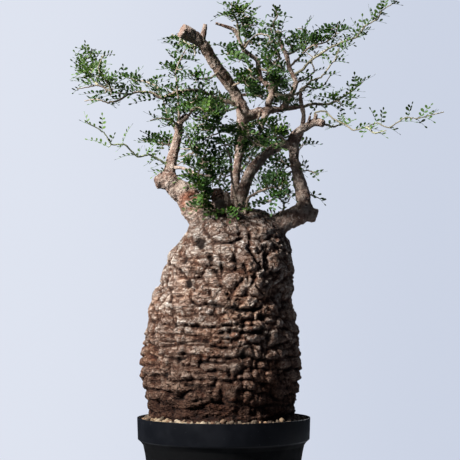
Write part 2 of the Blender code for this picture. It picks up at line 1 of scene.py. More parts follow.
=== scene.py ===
"""The finish of a potted operculicarya: a small tree with a swollen, knobbly caudex in a black nursery pot.

Everything is in metres. The origin is on the pot's axis at its base, +X is to the right as seen from the
front, and +Y goes away to the back. The sections follow the plant as it is put together, from the pot up.
"""
import math
import random

import bmesh
import bpy
import numpy as np
from mathutils import Matrix, Vector, noise
from mathutils.bvhtree import BVHTree


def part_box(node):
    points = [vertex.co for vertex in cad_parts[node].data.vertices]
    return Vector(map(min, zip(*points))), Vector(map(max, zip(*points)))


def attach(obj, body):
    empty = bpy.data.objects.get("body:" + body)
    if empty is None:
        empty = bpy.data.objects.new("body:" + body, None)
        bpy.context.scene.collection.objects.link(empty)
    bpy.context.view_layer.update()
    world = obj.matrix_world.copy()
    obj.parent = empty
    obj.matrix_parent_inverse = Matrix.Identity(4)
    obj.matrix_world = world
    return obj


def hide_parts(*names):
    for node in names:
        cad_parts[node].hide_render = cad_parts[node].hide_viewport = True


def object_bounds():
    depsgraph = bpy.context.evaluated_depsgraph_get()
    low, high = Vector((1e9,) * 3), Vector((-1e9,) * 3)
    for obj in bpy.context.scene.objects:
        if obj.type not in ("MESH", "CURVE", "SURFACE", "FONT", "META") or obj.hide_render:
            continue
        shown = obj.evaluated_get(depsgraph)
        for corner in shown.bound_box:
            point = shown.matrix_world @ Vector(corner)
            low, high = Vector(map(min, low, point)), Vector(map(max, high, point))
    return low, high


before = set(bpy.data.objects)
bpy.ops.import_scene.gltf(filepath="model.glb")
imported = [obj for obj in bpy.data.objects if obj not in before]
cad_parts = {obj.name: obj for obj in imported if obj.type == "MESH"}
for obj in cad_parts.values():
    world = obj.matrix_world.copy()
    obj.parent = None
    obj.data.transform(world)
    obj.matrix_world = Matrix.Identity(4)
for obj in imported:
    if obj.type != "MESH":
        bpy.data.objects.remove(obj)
solid_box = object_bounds()


# The pot is a thin-walled nursery pot of black polypropylene, injection moulded in one shot. A deep satin
# rim band steps in through a chamfer and a cove to the tapered body, which is duller, and painted blacker
# as the shade under the rim. Six drain holes go through the floor.
MM = 0.001
UP = Vector((0, 0, 1))
pot_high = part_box("pot")[1]
POT_HEIGHT = pot_high.z
RIM_RADIUS = pot_high.x
RIM_TAPER = 0.0009
RIM_DEPTH = 0.022
CHAMFER = (0.003, 0.0025)
COVE = (0.0055, 0.006)
SHOULDER = (0.0075, 0.015)
LIP_FILLET = 0.0005
BAND_FILLET = 0.0006
COVE_FILLET = 0.002
SHOULDER_FILLET = 0.008
BASE_RADIUS = 0.064
BASE_FILLET = 0.004
WALL = 0.0015
FLOOR = 0.0022
FLOOR_FILLET = 0.0015
FILLET_STEPS = 5
POT_SEGMENTS = 192
DRAIN_HOLES = 6
DRAIN_RADIUS = 0.0055
DRAIN_CIRCLE = 0.044
DRAIN_SIDES = 32


def rounded(corners):
    """An outline from (radius, height, fillet) corners, each corner turned with its fillet."""
    outline = []
    for i, (radius, height, fillet) in enumerate(corners):
        corner = Vector((radius, height))
        if not fillet:
            outline.append(corner)
            continue
        back = (Vector(corners[i - 1][:2]) - corner).normalized()
        ahead = (Vector(corners[i + 1][:2]) - corner).normalized()
        half = back.angle(ahead) / 2
        centre = corner + (back + ahead).normalized() * fillet / math.sin(half)
        start = corner + back * fillet / math.tan(half) - centre
        end = corner + ahead * fillet / math.tan(half) - centre
        for step in range(FILLET_STEPS + 1):
            share = step / FILLET_STEPS
            outline.append(centre + ((1 - share) * start + share * end).normalized() * fillet)
    return outline


def linked(name, mesh):
    """An object of the scene that shows a mesh."""
    obj = bpy.data.objects.new(name, mesh)
    bpy.context.scene.collection.objects.link(obj)
    return obj


def lathe(name, outline, segments):
    """Turns an outline round the Z axis. An end that lies on the axis becomes one point."""
    body = bmesh.new()
    rings = []
    for radius, height in outline:
        places = 1 if radius < 1e-6 else segments
        angles = [i * math.tau / places for i in range(places)]
        rings.append([
            body.verts.new((radius * math.cos(angle), radius * math.sin(angle), height)) for angle in angles
        ])
    for low, high in zip(rings, rings[1:]):
        for i in range(segments):
            j = (i + 1) % segments
            corners = [low[i % len(low)], low[j % len(low)], high[j % len(high)], high[i % len(high)]]
            body.faces.new(dict.fromkeys(corners))
    bmesh.ops.recalc_face_normals(body, faces=body.faces)
    mesh = bpy.data.meshes.new(name)
    body.to_mesh(mesh)
    body.free()
    return linked(name, mesh)


def settle(obj):
    """Turns the object's modifiers into its own mesh."""
    made = bpy.data.meshes.new_from_object(obj.evaluated_get(bpy.context.evaluated_depsgraph_get()))
    obj.modifiers.clear()
    obj.data = made


def shade_round(obj, sharp_over):
    """Smooth shading, with a hard edge where two faces meet at more than an angle in degrees."""
    obj.data.shade_smooth()
    obj.data.set_sharp_from_angle(angle=math.radians(sharp_over))


def feed(tree, socket, given):
    """Links a socket to another one, or sets its own value."""
    if isinstance(given, bpy.types.NodeSocket):
        tree.links.new(given, socket)
    else:
        socket.default_value = given


def put(tree, kind, feeds=None, **options):
    """Adds a shader node with its options and with what each of its sockets is fed."""
    node = tree.nodes.new(kind)
    for option, choice in options.items():
        setattr(node, option, choice)
    for socket, given in (feeds or {}).items():
        feed(tree, node.inputs[socket], given)
    return node


def mixed(tree, share, first, second, blend_type="MIX"):
    """A colour between two others."""
    feeds = {0: share, 6: first, 7: second}
    return put(tree, "ShaderNodeMix", feeds, data_type="RGBA", blend_type=blend_type).outputs[2]


def ramped(tree, value, low, high, to_low=0.0, to_high=1.0):
    """A value eased from one range to another."""
    feeds = {"Value": value, "From Min": low, "From Max": high, "To Min": to_low, "To Max": to_high}
    return put(tree, "ShaderNodeMapRange", feeds, interpolation_type="SMOOTHSTEP").outputs[0]


def worked(tree, operation, *given):
    """What a sum of numbers comes to at each place of a surface."""
    return put(tree, "ShaderNodeMath", dict(enumerate(given)), operation=operation).outputs[0]


def noised(tree, place, scale, detail):
    """Cloudy noise, from 0 to 1."""
    feeds = {"Vector": place, "Scale": scale, "Detail": detail}
    return put(tree, "ShaderNodeTexNoise", feeds).outputs["Fac"]


def place_on(tree):
    """Each place of a surface, in the metres of its piece."""
    return put(tree, "ShaderNodeTexCoord").outputs["Object"]


def level_on(tree):
    """The height of each place of a surface."""
    return put(tree, "ShaderNodeSeparateXYZ", {"Vector": place_on(tree)}).outputs["Z"]


def new_finish(name):
    """A material, its node tree and its Principled shader."""
    material = bpy.data.materials.new(name)
    material.use_nodes = True
    return material, material.node_tree, material.node_tree.nodes["Principled BSDF"]


def new_effect(name, takes, gives):
    """A shader node group with its named sockets, and the sockets inside it."""
    group = bpy.data.node_groups.new(name, "ShaderNodeTree")
    for socket, (kind, value) in takes.items():
        made = group.interface.new_socket(socket, in_out="INPUT", socket_type=f"NodeSocket{kind}")
        made.default_value = value
    for socket, kind in gives.items():
        group.interface.new_socket(socket, in_out="OUTPUT", socket_type=f"NodeSocket{kind}")
    return group, group.nodes.new("NodeGroupInput").outputs, group.nodes.new("NodeGroupOutput").inputs


def apply_effect(tree, group, feeds):
    """The outputs of an effect placed in a material."""
    return put(tree, "ShaderNodeGroup", feeds, node_tree=group).outputs


# Mottle: blotches of a second colour over the ground, and small flecks of a third.
mottle, taken, given = new_effect(
    "mottle",
    {
        "Ground": ("Color", (0.5, 0.5, 0.5, 1)), "Blotch": ("Color", (0.4, 0.4, 0.4, 1)),
        "Fleck": ("Color", (0.8, 0.8, 0.8, 1)), "Blotch Scale": ("Float", 60.0),
        "Fleck Scale": ("Float", 400.0), "Fleck Onset": ("Float", 0.66),
    },
    {"Color": "Color", "Blotches": "Float", "Flecks": "Float"},
)
place = place_on(mottle)
cloudy = {"Vector": place, "Scale": taken["Blotch Scale"], "Detail": 6.0, "Roughness": 0.62}
blotches = put(mottle, "ShaderNodeTexNoise", cloudy).outputs["Fac"]
blotch_share = ramped(mottle, blotches, 0.38, 0.64)
flecks = noised(mottle, place, taken["Fleck Scale"], 2.0)
fleck_full = worked(mottle, "ADD", taken["Fleck Onset"], 0.05)
fleck_share = ramped(mottle, flecks, taken["Fleck Onset"], fleck_full)
blotched = mixed(mottle, blotch_share, taken["Ground"], taken["Blotch"])
feed(mottle, given["Color"], mixed(mottle, fleck_share, blotched, taken["Fleck"]))
feed(mottle, given["Blotches"], blotch_share)
feed(mottle, given["Flecks"], fleck_share)

# Grain: the normal of a surface that is rough at two scales, over a height that it is given.
grain, taken, given = new_effect(
    "grain",
    {
        "Height": ("Float", 0.0), "Coarse Scale": ("Float", 300.0), "Fine Scale": ("Float", 1200.0),
        "Depth": ("Float", 0.0003),
    },
    {"Normal": "Vector"},
)
place = place_on(grain)
coarse = noised(grain, place, taken["Coarse Scale"], 4.0)
fine = noised(grain, place, taken["Fine Scale"], 3.0)
both = worked(grain, "ADD", coarse, worked(grain, "MULTIPLY", fine, 0.5))
raised = worked(grain, "ADD", both, taken["Height"])
bump = put(grain, "ShaderNodeBump", {"Height": raised, "Distance": taken["Depth"]})
feed(grain, given["Normal"], bump.outputs["Normal"])

band_foot = POT_HEIGHT - RIM_DEPTH
foot_radius = RIM_RADIUS - RIM_TAPER
outer_wall = [
    (RIM_RADIUS, POT_HEIGHT, LIP_FILLET),
    (foot_radius, band_foot, BAND_FILLET),
    (foot_radius - CHAMFER[0], band_foot - CHAMFER[1], BAND_FILLET),
    (foot_radius - COVE[0], band_foot - COVE[1], COVE_FILLET),
    (foot_radius - SHOULDER[0], band_foot - SHOULDER[1], SHOULDER_FILLET),
    (BASE_RADIUS, 0.0, BASE_FILLET),
]
inner_wall = [(radius - WALL, height, fillet) for radius, height, fillet in reversed(outer_wall[:-1])]
inner_floor = [(0, FLOOR, 0), (BASE_RADIUS - 2 * WALL, FLOOR, FLOOR_FILLET)]
pot = lathe("nursery_pot", rounded([*inner_floor, *inner_wall, *outer_wall, (0, 0, 0)]), POT_SEGMENTS)
for i in range(DRAIN_HOLES):
    angle = (i + 0.5) * math.tau / DRAIN_HOLES
    hole_wall = [(0, -FLOOR), (DRAIN_RADIUS, -FLOOR), (DRAIN_RADIUS, 2 * FLOOR), (0, 2 * FLOOR)]
    punch = lathe("punch", hole_wall, DRAIN_SIDES)
    punch.location = (DRAIN_CIRCLE * math.cos(angle), DRAIN_CIRCLE * math.sin(angle), 0)
    hole = pot.modifiers.new("drain hole", "BOOLEAN")
    hole.object = punch
    settle(pot)
    bpy.data.objects.remove(punch)
shade_round(pot, sharp_over=40)

pot_plastic, tree, shader = new_finish("black_moulded_plastic")
dusty = apply_effect(tree, mottle, {
    "Ground": (0.0055, 0.0063, 0.0088, 1), "Blotch": (0.0085, 0.0096, 0.0130, 1),
    "Fleck": (0.050, 0.050, 0.054, 1), "Blotch Scale": 34.0, "Fleck Scale": 460.0, "Fleck Onset": 0.71,
})
# The body below the rim band is painted near-black, as the shade that the rim casts on it; it is also
# duller.
body_share = ramped(tree, level_on(tree), band_foot, band_foot - CHAMFER[1])
body_in_painted_shade = mixed(tree, body_share, dusty["Color"], (0.0014, 0.0016, 0.0021, 1))
feed(tree, shader.inputs["Base Color"], body_in_painted_shade)
satin = ramped(tree, dusty["Blotches"], 0.0, 1.0, 0.34, 0.46)
duller = worked(tree, "MULTIPLY", body_share, 0.40)
feed(tree, shader.inputs["Roughness"], worked(tree, "ADD", satin, duller))
shader.inputs["Specular IOR Level"].default_value = 0.20
moulded = apply_effect(tree, grain, {"Coarse Scale": 90.0, "Fine Scale": 1500.0, "Depth": 0.00012})
feed(tree, shader.inputs["Normal"], moulded["Normal"])
pot.data.materials.append(pot_plastic)
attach(pot, "root")
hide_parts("pot")


# The potting mix is a dark, barky soil that fills the pot up to the dressing, with the root in its middle.
# It is poured in and firmed round the root, and only its colour and crumb are added here.
potting_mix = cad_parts["potting_mix"]
soil, tree, shader = new_finish("barky_potting_mix")
crumbs = apply_effect(tree, mottle, {
    "Ground": (0.045, 0.028, 0.018, 1), "Blotch": (0.085, 0.052, 0.031, 1), "Fleck": (0.30, 0.22, 0.15, 1),
    "Blotch Scale": 210.0, "Fleck Scale": 520.0, "Fleck Onset": 0.64,
})
feed(tree, shader.inputs["Base Color"], crumbs["Color"])
feed(tree, shader.inputs["Roughness"], ramped(tree, crumbs["Flecks"], 0.0, 1.0, 0.97, 0.85))
crumbly = apply_effect(tree, grain, {"Coarse Scale": 260.0, "Fine Scale": 900.0, "Depth": 0.0016})
feed(tree, shader.inputs["Normal"], crumbly["Normal"])
potting_mix.data.materials.clear()
potting_mix.data.materials.append(soil)


# The top dressing is screened pumice, with a little tan and red-brown lava, strewn two or three grains deep
# on the soil and heaped against the caudex. At the front left the heap stands above the rim, and away from
# there its grains are painted darker, as shade.
BED_SIDES = 160
BED_STEPS = 6
BED_LAP = 0.001
BED_GAP = 0.0006
BED_ROUGHNESS = 0.0009
BED_TONE = 0.97
BED_OUTER_HEIGHT = 0.1428
HEAP_AT_NECK = 0.0042
HEAP_AT_FRONT = 0.0026
HEAP_TURN = math.radians(-122)
HEAP_UNSHADED = math.radians(16)
NECK_RADIUS = 0.075
GRAIN_ROWS = (0.0776, 0.0812, 0.0845)
GRAIN_SPACING = 0.0044
GRAIN_STRAY = 0.0011
GRAIN_SIZES = (0.0014, 0.0033)
DENT, SMALL_DENT = 0.38, 0.13
GRAIN_PAINTED_SHADE = 0.62
DARKEST_GRAIN = 0.95
bed_low, bed_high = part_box("pumice_top_dressing")
bed_outer = bed_high.x


class Growth:
    """Collects the bodies of a piece: their points, their faces with a finish, and marks on the points."""

    def __init__(self, *mark_names):
        self.mark_names = mark_names
        self.points, self.faces, self.finishes, self.marks = [], [], [], []

    def add(self, points, faces, marks, finish=0):
        """Adds a body, with marks for all its points together or a list of them."""
        first = len(self.points)
        self.points += [tuple(point) for point in points]
        self.faces += [tuple(first + corner for corner in face) for face in faces]
        self.finishes += [finish] * len(faces)
        self.marks += marks if isinstance(marks, list) else [marks] * len(points)

    def finished(self, name, materials, sharp_over):
        """The object that all the bodies make."""
        mesh = bpy.data.meshes.new(name)
        mesh.from_pydata(self.points, [], self.faces)
        mesh.update()
        for material in materials:
            mesh.materials.append(material)
        mesh.polygons.foreach_set("material_index", self.finishes)
        for number, mark_name in enumerate(self.mark_names):
            layer = mesh.attributes.new(mark_name, "FLOAT", "POINT")
            layer.data.foreach_set("value", [mark[number] for mark in self.marks])
        obj = linked(name, mesh)
        shade_round(obj, sharp_over)
        return obj


def ball(subdivisions):
    """Points and faces of a round ball of radius 1."""
    body = bmesh.new()
    bmesh.ops.create_icosphere(body, subdivisions=subdivisions, radius=1)
    body.verts.ensure_lookup_table()
    points = [vertex.co.copy() for vertex in body.verts]
    faces = [[vertex.index for vertex in face.verts] for face in body.faces]
    body.free()
    return points, faces


def heap_height(turn, reach):
    """Height of the dressing at a place round the pot."""
    closeness = (bed_outer - reach) / (bed_outer - NECK_RADIUS)
    frontness = 0.5 + 0.5 * math.cos(turn - HEAP_TURN)
    return BED_OUTER_HEIGHT + closeness * (HEAP_AT_NECK + HEAP_AT_FRONT * frontness)


def scattered(draw, amount):
    """A small shift in a random direction."""
    return amount * Vector([draw.gauss(0, 1) for _ in range(3)])


dressing = Growth("tone")
bed_points, bed_faces = [], []
inner, outer = NECK_RADIUS - BED_LAP, bed_outer - BED_GAP
reaches = [inner + i * (bed_outer - NECK_RADIUS) / BED_STEPS for i in range(BED_STEPS + 1)]
bed_line = [(inner, 0), *((reach, 1) for reach in reaches), (outer, 1), (outer, 0)]
for i in range(BED_SIDES):
    turn = i * math.tau / BED_SIDES
    for reach, is_top in bed_line:
        spot = Vector((reach * math.cos(turn), reach * math.sin(turn), bed_low.z))
        if is_top:
            spot.z = heap_height(turn, reach) + BED_ROUGHNESS * noise.noise(spot * 420)
        bed_points.append(spot)
count = len(bed_line)
for i in range(BED_SIDES):
    for j in range(count):
        here, there = i * count, (i + 1) % BED_SIDES * count
        bed_faces.append((here + j, there + j, there + (j + 1) % count, here + (j + 1) % count))
dressing.add(bed_points, bed_faces, (BED_TONE,))

draw = random.Random(41)
ball_points, ball_faces = ball(subdivisions=2)
grains = []
for row in GRAIN_ROWS:
    count = round(math.tau * row / GRAIN_SPACING)
    for i in range(count):
        size = draw.uniform(*GRAIN_SIZES)
        turn = i * math.tau / count + draw.uniform(-GRAIN_STRAY, GRAIN_STRAY) / row
        reach = min(row + draw.uniform(-GRAIN_STRAY, GRAIN_STRAY), bed_outer - 0.9 * size)
        height = heap_height(turn, reach) + draw.uniform(0.1, 0.8) * size
        grains.append((Vector((reach * math.cos(turn), reach * math.sin(turn), height)), size))
for spot, size in grains:
    shape = Vector((draw.uniform(0.95, 1.35), draw.uniform(0.8, 1.05), draw.uniform(0.65, 0.9)))
    angle = draw.uniform(0, math.tau)
    turned = Matrix.Rotation(angle, 3, scattered(draw, 1).normalized())
    seed = Vector([draw.uniform(0, 100) for _ in range(3)])
    points = []
    for point in ball_points:
        swell = 1 + DENT * noise.noise(seed + 1.3 * point) + SMALL_DENT * noise.noise(seed + 4 * point)
        points.append(spot + size * swell * (turned @ (point * shape)))
    # Away from the front left the grains are painted darker, as shade.
    off_heap = abs(math.remainder(math.atan2(spot.y, spot.x) - HEAP_TURN, math.tau))
    painted_grain_shade = min(1.0, max(0.0, (off_heap - HEAP_UNSHADED) / HEAP_UNSHADED))
    dressing.add(points, ball_faces, (min(DARKEST_GRAIN, draw.random() + GRAIN_PAINTED_SHADE * painted_grain_shade),))


def marked(tree, name):
    """A mark that the points of a mesh carry."""
    return put(tree, "ShaderNodeAttribute", attribute_name=name).outputs["Fac"]


def graded(tree, value, *stops):
    """A colour that runs through stops, each written as its position and its colour."""
    grading = put(tree, "ShaderNodeValToRGB", {"Fac": value})
    elements = grading.color_ramp.elements
    for element, (position, colour) in zip(elements, (stops[0], stops[-1])):
        element.position = position
        element.color = colour
    for position, colour in stops[1:-1]:
        elements.new(position).color = colour
    return grading.outputs["Color"]


pumice, tree, shader = new_finish("screened_pumice")
grain_colour = graded(
    tree, marked(tree, "tone"), (0.0, (0.60, 0.50, 0.37, 1)), (0.42, (0.47, 0.36, 0.23, 1)),
    (0.68, (0.37, 0.25, 0.14, 1)), (0.84, (0.22, 0.11, 0.06, 1)), (0.95, (0.055, 0.034, 0.022, 1)),
)
pores = apply_effect(tree, mottle, {
    "Ground": grain_colour, "Blotch": (0.36, 0.28, 0.19, 1), "Fleck": (0.13, 0.09, 0.06, 1),
    "Blotch Scale": 140.0, "Fleck Scale": 900.0, "Fleck Onset": 0.62,
})
feed(tree, shader.inputs["Base Color"], mixed(tree, 0.45, grain_colour, pores["Color"]))
feed(tree, shader.inputs["Roughness"], ramped(tree, pores["Flecks"], 0.0, 1.0, 0.86, 0.98))
pitted = apply_effect(tree, grain, {"Coarse Scale": 700.0, "Fine Scale": 2200.0, "Depth": 0.0007})
feed(tree, shader.inputs["Normal"], pitted["Normal"])
top_dressing = dressing.finished("pumice_grains", [pumice], sharp_over=60)
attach(top_dressing, "root")
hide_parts("pumice_top_dressing")


# The trunk is one piece of living wood: a bottle-shaped caudex with its root below the soil, and the limbs
# that were cut back above it. Its corky bark has split into knobs and blocks with deep dark fissures
# between them.
VOXEL = 0.00155
BURIED = 0.136
ROOT_PROFILE = ((0.068, 0.0), (0.088, 0.030), (0.118, 0.064), (0.143, 0.075))
ROOT_TOP_RADIUS = 0.0725
ROOT_LAP = 0.001
ROOT_SIDES = 64
NECK_TOP = 0.150
NECK_BLEND = 0.008
CAUDEX_SIDES = 128
RING_STEP = 0.004
CAUDEX_DEPTH_SHARE = 0.95
CROWN_DEPTH_SHARE = 0.86
CAUDEX_TOP = Vector((0.016, -0.003, 0.368))

# Height, left edge and right edge of the caudex as seen from the front, in millimetres
CAUDEX_OUTLINE = np.array((
    (152, -76.5, 73.5), (160, -79, 75), (170, -82, 76), (180, -85, 78), (190, -86, 79), (200, -87, 79),
    (210, -85, 79), (220, -84, 78.5), (240, -82, 77), (262, -80, 73.5), (270, -76, 72), (280, -71, 72),
    (290, -66, 74), (305, -62, 73.5), (312, -60, 73), (320, -55, 72), (330, -49, 69), (340, -44, 65),
    (350, -37, 58), (356, -34, 53), (362, -24, 46), (366, -8, 40),
)) * MM
low_ring, high_ring = CAUDEX_OUTLINE[0, 0], CAUDEX_OUTLINE[-1, 0]

# Eye point from which the places below are seen
EYE = Vector((0.0065, -1.158, 0.240))

# Limbs, written as (root, depth of the root, depth of the tip, points). A root is a place in the caudex,
# or a point of another limb, by name and number, whose depth it then takes. A point is (across, height,
# radius) in millimetres, as seen on the plane of the pot's axis. The depth runs evenly along the limb,
# positive to the back.
LIMBS = {
    "left": ((-10, 340, 20), -8, -14, (
        (-20, 355, 16), (-33, 372, 14), (-40, 384, 12.2), (-49, 389, 11.2), (-60.5, 399, 10.4),
        (-73, 395, 5.8))),
    "left_upright": (("left", 5), None, -4, (
        (-57, 412, 6), (-54, 424, 5.5), (-51, 436, 4.8), (-49, 448, 4.2), (-48, 458, 4), (-45, 464, 3.6),
        (-38, 468, 3.4))),
    "left_bare_twig": (("left_upright", 1), None, -45, (
        (-46, 412, 1.7), (-40, 410, 1.6), (-32, 406, 1.5), (-25, 404, 1.4), (-14, 403, 1.2))),
    "centre": ((12, 355, 11), 6, 5, (
        (12, 372, 7), (12, 388, 5), (13, 405, 4.3), (16, 425, 4.3), (19, 445, 5), (20, 461, 6.3),
        (20, 469, 7), (18, 479, 6.4), (13, 490, 6))),
    "cut_limb": (("centre", 9), None, -34, (
        (8, 500, 6), (-5, 517, 6), (-12, 528, 6.2), (-18, 538, 6), (-24, 547, 6), (-33, 554, 6.8),
        (-46.5, 561, 7.5))),
    "cut_limb_spur": (("cut_limb", 5), None, -28, ((-22, 557, 3.2), (-20, 568, 2.2))),
    "pink_twig": (("centre", 9), None, -4, ((22, 490.5, 1.6), (31, 491, 1.5), (42, 488, 1.3))),
    "arm": (("centre", 7), None, 22, (
        (29, 468, 6.4), (38, 472, 5.6), (48, 474, 4.2), (60, 475, 3), (75, 477, 2.6), (86, 478, 2.4))),
    "inner_stem": (("arm", 3), None, -10, (
        (48, 482, 3.6), (52, 493, 3.2), (47, 501, 3), (39, 509, 2.8), (37, 520, 2.6), (36, 528, 2.5),
        (28, 534, 2.4), (21, 540, 2.3), (17, 550, 2.2), (12, 561, 2), (3, 565, 1.7), (-9, 569, 1.4))),
    "inner_stem_foot": (("arm", 3), None, -14, ((43, 466, 3.4), (40, 458, 3.0), (39, 450, 2.4))),
    "outer_stem": (("arm", 4), None, 46, (
        (70, 485, 2.9), (74, 495, 2.8), (77, 504, 2.7), (74, 512, 2.6), (70, 521, 2.5), (67, 534, 2.4),
        (62, 544, 2.3), (58, 560, 2))),
    "right": ((34, 338, 20), -5, -8, (
        (45, 346, 15), (60, 353, 11.5), (74, 359, 10), (86, 363, 9.6), (99, 360, 6.8))),
    "right_upright": (("right", 4), None, -8, (
        (84, 380, 7.8), (81, 393, 6.7), (78, 407, 5.6), (75, 420, 5.1), (75, 432, 5.2))),
    "right_fork": (("right_upright", 5), None, 10, (
        (79, 441, 3), (83, 450, 2.6), (84.5, 460, 2.4), (85, 470, 2.3), (82, 485, 2), (82, 496, 1.8))),
    "bridge": (("right_upright", 5), None, -20, (
        (69, 437, 4.8), (60, 436, 4.8), (48, 429, 4.8), (39, 420, 5.2), (31, 411, 5.6), (24, 398, 6),
        (19, 380, 6.6), (17, 360, 8))),
    "right_stub": (("right_upright", 5), None, -32, (
        (73, 445, 4.4), (81, 452, 4.2), (90, 457, 4.2), (97, 461, 4.4), (107, 459, 4))),
    "near_peg": (("right_stub", 3), None, -31, ((91, 463, 1.7), (92, 468, 1.2))),
    "far_peg": (("right_stub", 4), None, -33, ((98, 466, 1.8), (99, 470, 1.3))),
    "red_stub": ((-4, 355, 8), -14, -22, ((-6, 374, 7.5), (-8, 390, 5.8))),
    "pale_stub": ((4, 355, 7), -12, -20, ((2, 373, 6.5), (1, 386, 4.4))),
}
ROOT_FLARE = 1.15
FINE_LIMB = 0.0023
LIMB_SIDES = 28
FINE_SIDES = 14
LIMB_STEP = 0.003
FINE_STEP = 0.0014
BEND_EASE = 0.75


def seen(across, height, depth):
    """The point at a depth that shows at (across, height) on the plane of the pot's axis."""
    on_plane = Vector((across * MM, 0, height * MM))
    return EYE + (on_plane - EYE) * (1 + depth * MM / -EYE.y)


def route_of(entry, routes, root_radius):
    """Points and radii of a limb or a stem, the first of them inside what it springs from."""
    root, root_depth, end_depth, places = entry
    if root_depth is None:
        parent, number = root
        start, start_radius = routes[parent][0][number], routes[parent][1][number]
        root_depth = start.y / MM
        first = (start.x / MM, start.z / MM)
    else:
        start = seen(root[0], root[1], root_depth)
        start_radius = root[2] * MM if len(root) > 2 else root_radius
        first = root[:2]
    line = [first, *(place[:2] for place in places)]
    runs = [math.dist(a, b) for a, b in zip(line, line[1:])]
    points, radii, gone = [start], [], 0
    for place, run in zip(places, runs):
        gone += run
        points.append(seen(place[0], place[1], root_depth + (end_depth - root_depth) * gone / sum(runs)))
        radii.append(place[2] * MM if len(place) > 2 else root_radius)
    return points, [min(start_radius, radii[0] * ROOT_FLARE), *radii]


def eased(points, radii, step, ease):
    """The route with a point about every step, rounded at its bends."""
    ends = [2 * points[0] - points[1], *points, 2 * points[-1] - points[-2]]
    fine_points, fine_radii = [], []
    for i in range(len(points) - 1):
        a, b, c, d = ends[i:i + 4]
        steps = max(1, round((c - b).length / step))
        for k in range(steps):
            t = k / steps
            curve = (
                2 * b + (c - a) * t + (2 * a - 5 * b + 4 * c - d) * t * t
                + (3 * b - a - 3 * c + d) * t ** 3
            ) / 2
            fine_points.append(b.lerp(c, t).lerp(curve, ease))
            fine_radii.append(radii[i] + t * (radii[i + 1] - radii[i]))
    return [*fine_points, points[-1]], [*fine_radii, radii[-1]]


def tube(points, radii, sides):
    """Points and faces of a tapered tube with flat ends, its rings turned along the route without twist."""
    steps = [(b - a).normalized() for a, b in zip(points, points[1:])]
    headings = [steps[0]] + [(a + b).normalized() for a, b in zip(steps, steps[1:])] + [steps[-1]]
    side = headings[0].orthogonal().normalized()
    rings = []
    for point, heading, radius in zip(points, headings, radii):
        side = (side - heading * side.dot(heading)).normalized()
        other = heading.cross(side)
        for i in range(sides):
            angle = i * math.tau / sides
            rings.append(point + radius * (side * math.cos(angle) + other * math.sin(angle)))
    faces = [tuple(reversed(range(sides)))]
    for i in range(len(points) - 1):
        for j in range(sides):
            a, b = i * sides + j, i * sides + (j + 1) % sides
            faces.append((a, b, b + sides, a + sides))
    last = (len(points) - 1) * sides
    faces.append(tuple(last + j for j in range(sides)))
    return rings, faces


def caudex_rings():
    """Rings of the plain caudex from just below the dressing to its crown."""
    heights = [BURIED, ROOT_PROFILE[-1][0]]
    count = round((high_ring - NECK_TOP) / RING_STEP)
    heights += [NECK_TOP + i * (high_ring - NECK_TOP) / count for i in range(count + 1)]
    root_heights, root_radii = zip(*ROOT_PROFILE)
    rings = []
    for height in heights:
        left = float(np.interp(height, CAUDEX_OUTLINE[:, 0], CAUDEX_OUTLINE[:, 1]))
        right = float(np.interp(height, CAUDEX_OUTLINE[:, 0], CAUDEX_OUTLINE[:, 2]))
        centre, half = (left + right) / 2, (right - left) / 2
        if height < NECK_TOP:
            centre, half = 0.0, float(np.interp(height, root_heights, root_radii))
        settled = min(1.0, max(0.0, (height - NECK_TOP) / NECK_BLEND))
        rise = min(1.0, max(0.0, (height - low_ring) / (high_ring - low_ring)))
        depth = 1 - settled * (1 - CAUDEX_DEPTH_SHARE - (CROWN_DEPTH_SHARE - CAUDEX_DEPTH_SHARE) * rise)
        rings.append([
            Vector((centre + half * math.cos(a), depth * half * math.sin(a) + CAUDEX_TOP.y * rise, height))
            for a in (i * math.tau / CAUDEX_SIDES for i in range(CAUDEX_SIDES))
        ])
    return rings


wood = Growth()
rings = caudex_rings()
wood_faces = [tuple(reversed(range(CAUDEX_SIDES)))]
for i in range(len(rings) - 1):
    for j in range(CAUDEX_SIDES):
        a, b = i * CAUDEX_SIDES + j, i * CAUDEX_SIDES + (j + 1) % CAUDEX_SIDES
        wood_faces.append((a, b, b + CAUDEX_SIDES, a + CAUDEX_SIDES))
last = (len(rings) - 1) * CAUDEX_SIDES
wood_faces += [(last + j, last + (j + 1) % CAUDEX_SIDES, last + CAUDEX_SIDES) for j in range(CAUDEX_SIDES)]
wood.add([*(point for ring in rings for point in ring), CAUDEX_TOP], wood_faces, [])
routes = {}
for name, entry in LIMBS.items():
    routes[name] = route_of(entry, routes, 0)
    if routes[name][1][-1] > FINE_LIMB:
        wood.add(*tube(*eased(*routes[name], LIMB_STEP, BEND_EASE), LIMB_SIDES), [])
trunk = wood.finished("trunk_and_limbs", [], sharp_over=180)
remesh = trunk.modifiers.new("grown together", "REMESH")
remesh.mode = "VOXEL"
remesh.voxel_size = VOXEL
settle(trunk)


def points_of(mesh):
    """The places of a mesh's points."""
    places = np.empty(len(mesh.vertices) * 3, np.float32)
    mesh.vertices.foreach_get("co", places)
    return places.reshape(-1, 3).astype(float)


def normals_of(mesh):
    """The directions that a mesh's points face."""
    normals = np.empty(len(mesh.vertices) * 3, np.float32)
    mesh.vertices.foreach_get("normal", normals)
    return normals.reshape(-1, 3).astype(float)


def edges_of(mesh):
    """The pairs of points that a mesh's edges join."""
    edges = np.empty(len(mesh.edges) * 2, np.int32)
    mesh.edges.foreach_get("vertices", edges)
    return edges.reshape(-1, 2)


def relaxed(places, edges, share, rounds, back=0):
    """The places drawn towards the middle of their neighbours, and after each round partly back."""
    both = np.concatenate([edges, edges[:, ::-1]])
    count = np.bincount(both[:, 0], minlength=len(places))[:, None]
    for _ in range(rounds):
        total = np.stack([
            np.bincount(both[:, 0], places[both[:, 1], axis], minlength=len(places)) for axis in range(3)
        ], axis=1)
        places = places + share * (total / count - places)
        if back:
            places = relaxed(places, edges, -back, 1)
    return places


